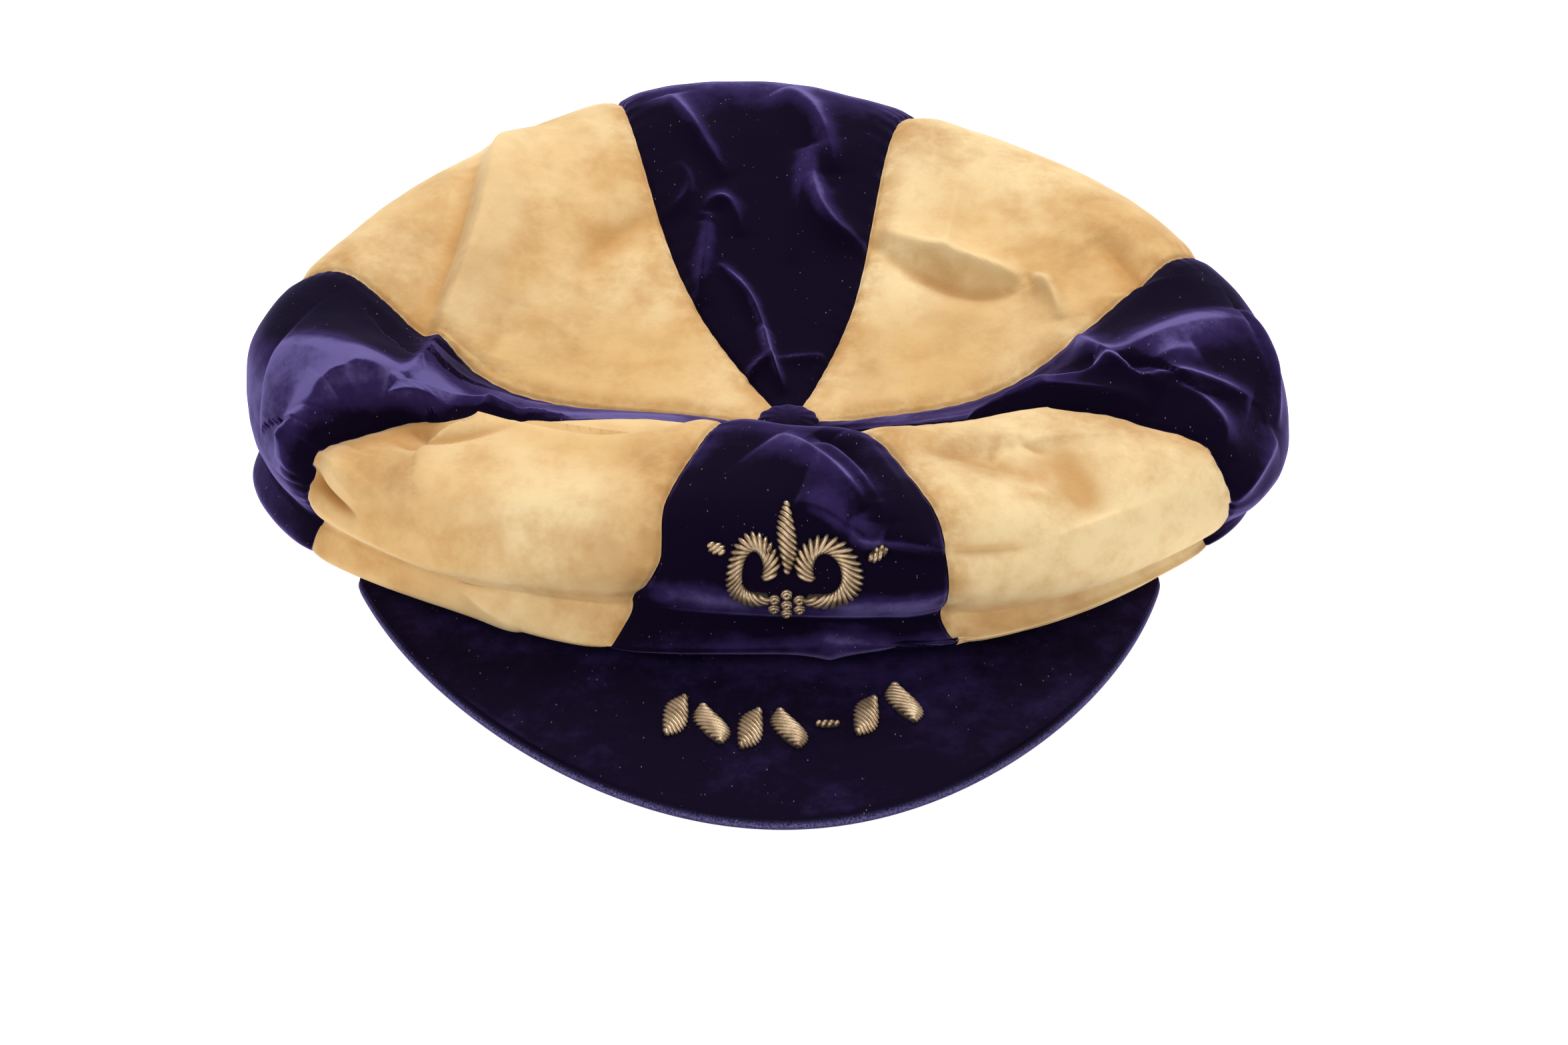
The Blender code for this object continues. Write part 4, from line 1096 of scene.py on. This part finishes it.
def goldwork(name, seat, path, widths, relief, slant=STRAND_SLANT):
    """Bullion strands laid side by side, slanting across a padded band along a path of flat places."""
    path = np.asarray(path, float)
    points, faces = [], []
    side = unit(np.gradient(path, axis=0)) @ np.array(((0, 1), (-1, 0)))
    for place, across, width in zip(path, side, widths):
        for share, height in PAD_SECTION:
            point, out = seat(*(place + across * width / 2 * share * PAD_SHARE))
            points.append(point + out * relief * height * PAD_SHARE)
    wide = len(PAD_SECTION)
    for i in range(len(path) - 1):
        for j in range(wide):
            a, b = i * wide + j, i * wide + (j + 1) % wide
            faces.append((a, a + wide, b + wide, b))
    last = wide * (len(path) - 1)
    faces += [tuple(range(wide)), tuple(last + corner for corner in reversed(range(wide)))]
    pad_faces = len(faces)
    count = len(points)
    tubes = [np.array(points)]
    across_steps = np.linspace(-1, 1, STRAND_STEPS)
    for middle, ahead, width in zip(*band_places(path, widths, STRAND_PITCH)):
        across = np.array((-ahead[1], ahead[0]))
        line = []
        for u in across_steps:
            point, out = seat(*(middle + u * width / 2 * (across + slant * ahead)))
            dome = relief * (1 - abs(u)**STRAND_DOME) - STRAND_SINK
            line.append(point + out * (dome + STRAND_RADIUS * STRAND_LIFT))
        ring_points, ring_faces = tube(line, STRAND_RADIUS, STRAND_SIDES)
        tubes.append(ring_points)
        faces += [tuple(count + corner for corner in face) for face in ring_faces]
        count += len(ring_points)
    piece = new_piece(name + "_bullion", np.concatenate(tubes), faces, BULLION_WIRE)
    piece.data.materials.append(BULLION_PADDING)
    slots = np.zeros(len(faces), np.int32)
    slots[:pad_faces] = 1
    piece.data.polygons.foreach_set("material_index", slots)
    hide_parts(name)
    return piece


def leaf(name, seat, middle, turn_deg, length, width, relief):
    """A pointed leaf about its middle."""
    t = np.linspace(-1, 1, LEAF_STEPS + 1)
    turn = math.radians(turn_deg)
    path = np.array(middle) + np.outer(t * length / 2, (math.cos(turn), math.sin(turn)))
    goldwork(name, seat, path, width * (LEAF_TIP + (1 - LEAF_TIP) * np.cos(t * math.pi / 2)), relief)


KNOT_TURNS = 2.1
KNOT_STEPS = 34
KNOT_RISE = 0.0011
KNOT_WIND = 0.92
KNOT_STRAND = 0.9


def knot(name, seat, middle):
    """A knot of bullion, wound inward and upward into a small dome."""
    t = np.linspace(0, 1, KNOT_STEPS)
    turns = 2 * math.pi * KNOT_TURNS * t
    radii = (KNOT_RADIUS - STRAND_RADIUS * STRAND_LIFT) * np.sqrt(1 - KNOT_WIND * t)
    line = []
    for turn, radius, share in zip(turns, radii, t):
        point, out = seat(*(np.array(middle) + radius * np.array((math.cos(turn), math.sin(turn)))))
        line.append(point + out * (STRAND_RADIUS / 2 + KNOT_RISE * share))
    points, faces = tube(line, STRAND_RADIUS * KNOT_STRAND, STRAND_SIDES)
    piece = new_piece(name + "_bullion", points, faces, BULLION_WIRE)
    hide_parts(name)


def badge(panel):
    """The ornament on the front panel: two scrolls, three leaves and a ring of knots about one."""
    seat = badge_seat(panel)
    turns = np.radians(np.linspace(VOLUTE["from_deg"], VOLUTE["to_deg"], VOLUTE["steps"] + 1))
    radii = np.linspace(VOLUTE["radius"], VOLUTE["end_radius"], VOLUTE["steps"] + 1) * BADGE_WIDTH
    swell = np.sin(np.linspace(SCROLL_END, math.pi - SCROLL_END, VOLUTE["steps"] + 1))
    widths = BAND_WIDTH * np.clip(SCROLL_SWELL * swell, 0, 1)
    circle = np.column_stack((np.cos(turns), VOLUTE["tall"] * np.sin(turns)))
    start = np.array((KNOT_PITCH * math.cos(math.pi / KNOT_RING) + KNOT_RADIUS + SCROLL_GAP,
                      VOLUTE["start_up"] * BADGE_HEIGHT))
    path = start + radii[:, None] * circle - radii[0] * circle[0]
    for side, word in ((-1, "left"), (1, "right")):
        goldwork("badge_scroll_" + word, seat, path * (side, 1), widths, BADGE_RELIEF,
                 slant=side * STRAND_SLANT)
    for row in BADGE_LEAVES:
        it = dict(zip(LEAF_COLUMNS, row))
        leaf(it["node"], seat, (it["right"] * BADGE_WIDTH, it["up"] * BADGE_HEIGHT), it["turn_deg"],
             it["length"] * BADGE_WIDTH, it["width"] * BADGE_WIDTH, BADGE_RELIEF)
    foot = np.array((0, KNOT_FOOT * BADGE_HEIGHT))
    places = [foot] + [foot + KNOT_PITCH * np.array((math.cos(a), math.sin(a)))
                       for a in (np.arange(KNOT_RING) + 0.5) * 2 * math.pi / KNOT_RING]
    for number, place in enumerate(places, 1):
        knot(f"badge_knot_{number}", seat, place)


def sprigs(peak_piece):
    """The arc of leaves and the bar on the peak."""
    seat = peak_seat(peak_piece)

    def on_arc(right):
        """The arc's plan place at a share of its span to the right."""
        return SPRIG_MIDDLE + right * SPRIG_SPAN, -SPRIG_LINE + SPRIG_SAG * (2 * right)**2
    for row in SPRIGS:
        it = dict(zip(SPRIG_COLUMNS, row))
        leaf(it["node"], seat, on_arc(it["right"]), it["turn_deg"], SPRIG_LENGTH, SPRIG_WIDTH, SPRIG_RELIEF)
    leaf("peak_bar", seat, on_arc(BAR_RIGHT), 0, BAR_LENGTH, BAR_WIDTH, SPRIG_RELIEF)


# Floor, light and camera

FLOOR_SIZE = 12.0
FLOOR_GAP = 0.0002
WORLD_STRENGTH = 0.55
KEY_POWER = 20.0
KEY_SIZE = 0.9
KEY_PLACE = (0.30, 0.80, 1.30)
FILL_POWER = 13.0
FILL_SIZE = 1.4
FILL_PLACE = (-0.40, -1.10, 1.20)
LENS = 85.0
SENSOR = 36.0
CAMERA_DISTANCE = 0.908
CAMERA_DEG = 31.0
CAMERA_TARGET = (0.005, -0.028, 0.030)
FRAME_SHIFT = -0.0560


def floor():
    """The ground that the cap lies on."""
    bm = bmesh.new()
    bmesh.ops.create_grid(bm, x_segments=1, y_segments=1, size=FLOOR_SIZE / 2)
    mesh = bpy.data.meshes.new("table_top")
    bm.to_mesh(mesh)
    bm.free()
    mesh.materials.append(table_top())
    piece = bpy.data.objects.new("table_top", mesh)
    piece.location = (0, 0, -FLOOR_GAP)
    bpy.context.scene.collection.objects.link(piece)


def area_light(name, place, power, size):
    """A soft square lamp that points at the cap."""
    data = bpy.data.lights.new(name, "AREA")
    data.energy = power
    data.size = size
    lamp = bpy.data.objects.new(name, data)
    lamp.location = place
    lamp.rotation_euler = (-Vector(place)).to_track_quat("-Z", "Y").to_euler()
    bpy.context.scene.collection.objects.link(lamp)


def light():
    """A white world, a soft key light from behind and a fill light from the front."""
    world = bpy.data.worlds.new("white_studio")
    world.use_nodes = True
    background = world.node_tree.nodes["Background"]
    background.inputs["Color"].default_value = (1, 1, 1, 1)
    background.inputs["Strength"].default_value = WORLD_STRENGTH
    scene = bpy.context.scene
    scene.world = world
    scene.view_settings.view_transform = "Standard"
    area_light("key_light", KEY_PLACE, KEY_POWER, KEY_SIZE)
    area_light("fill_light", FILL_PLACE, FILL_POWER, FILL_SIZE)


def camera():
    """The photo's view, from in front and above with a long lens."""
    data = bpy.data.cameras.new("camera")
    data.lens = LENS
    data.sensor_width = SENSOR
    data.shift_y = FRAME_SHIFT
    data.clip_start = 0.01
    piece = bpy.data.objects.new("camera", data)
    tilt = math.radians(CAMERA_DEG)
    back = Vector((0, -math.cos(tilt), math.sin(tilt)))
    piece.location = Vector(CAMERA_TARGET + OFFSET) + back * CAMERA_DISTANCE
    piece.rotation_euler = (-back).to_track_quat("-Z", "Y").to_euler()
    bpy.context.scene.collection.objects.link(piece)
    bpy.context.scene.camera = piece


PANEL_PIECES = [crown_panel(index) for index in range(len(PANELS))]
crown_button()
PEAK_PIECE = peak()
badge(PANEL_PIECES[0])
sprigs(PEAK_PIECE)
floor()
light()
camera()
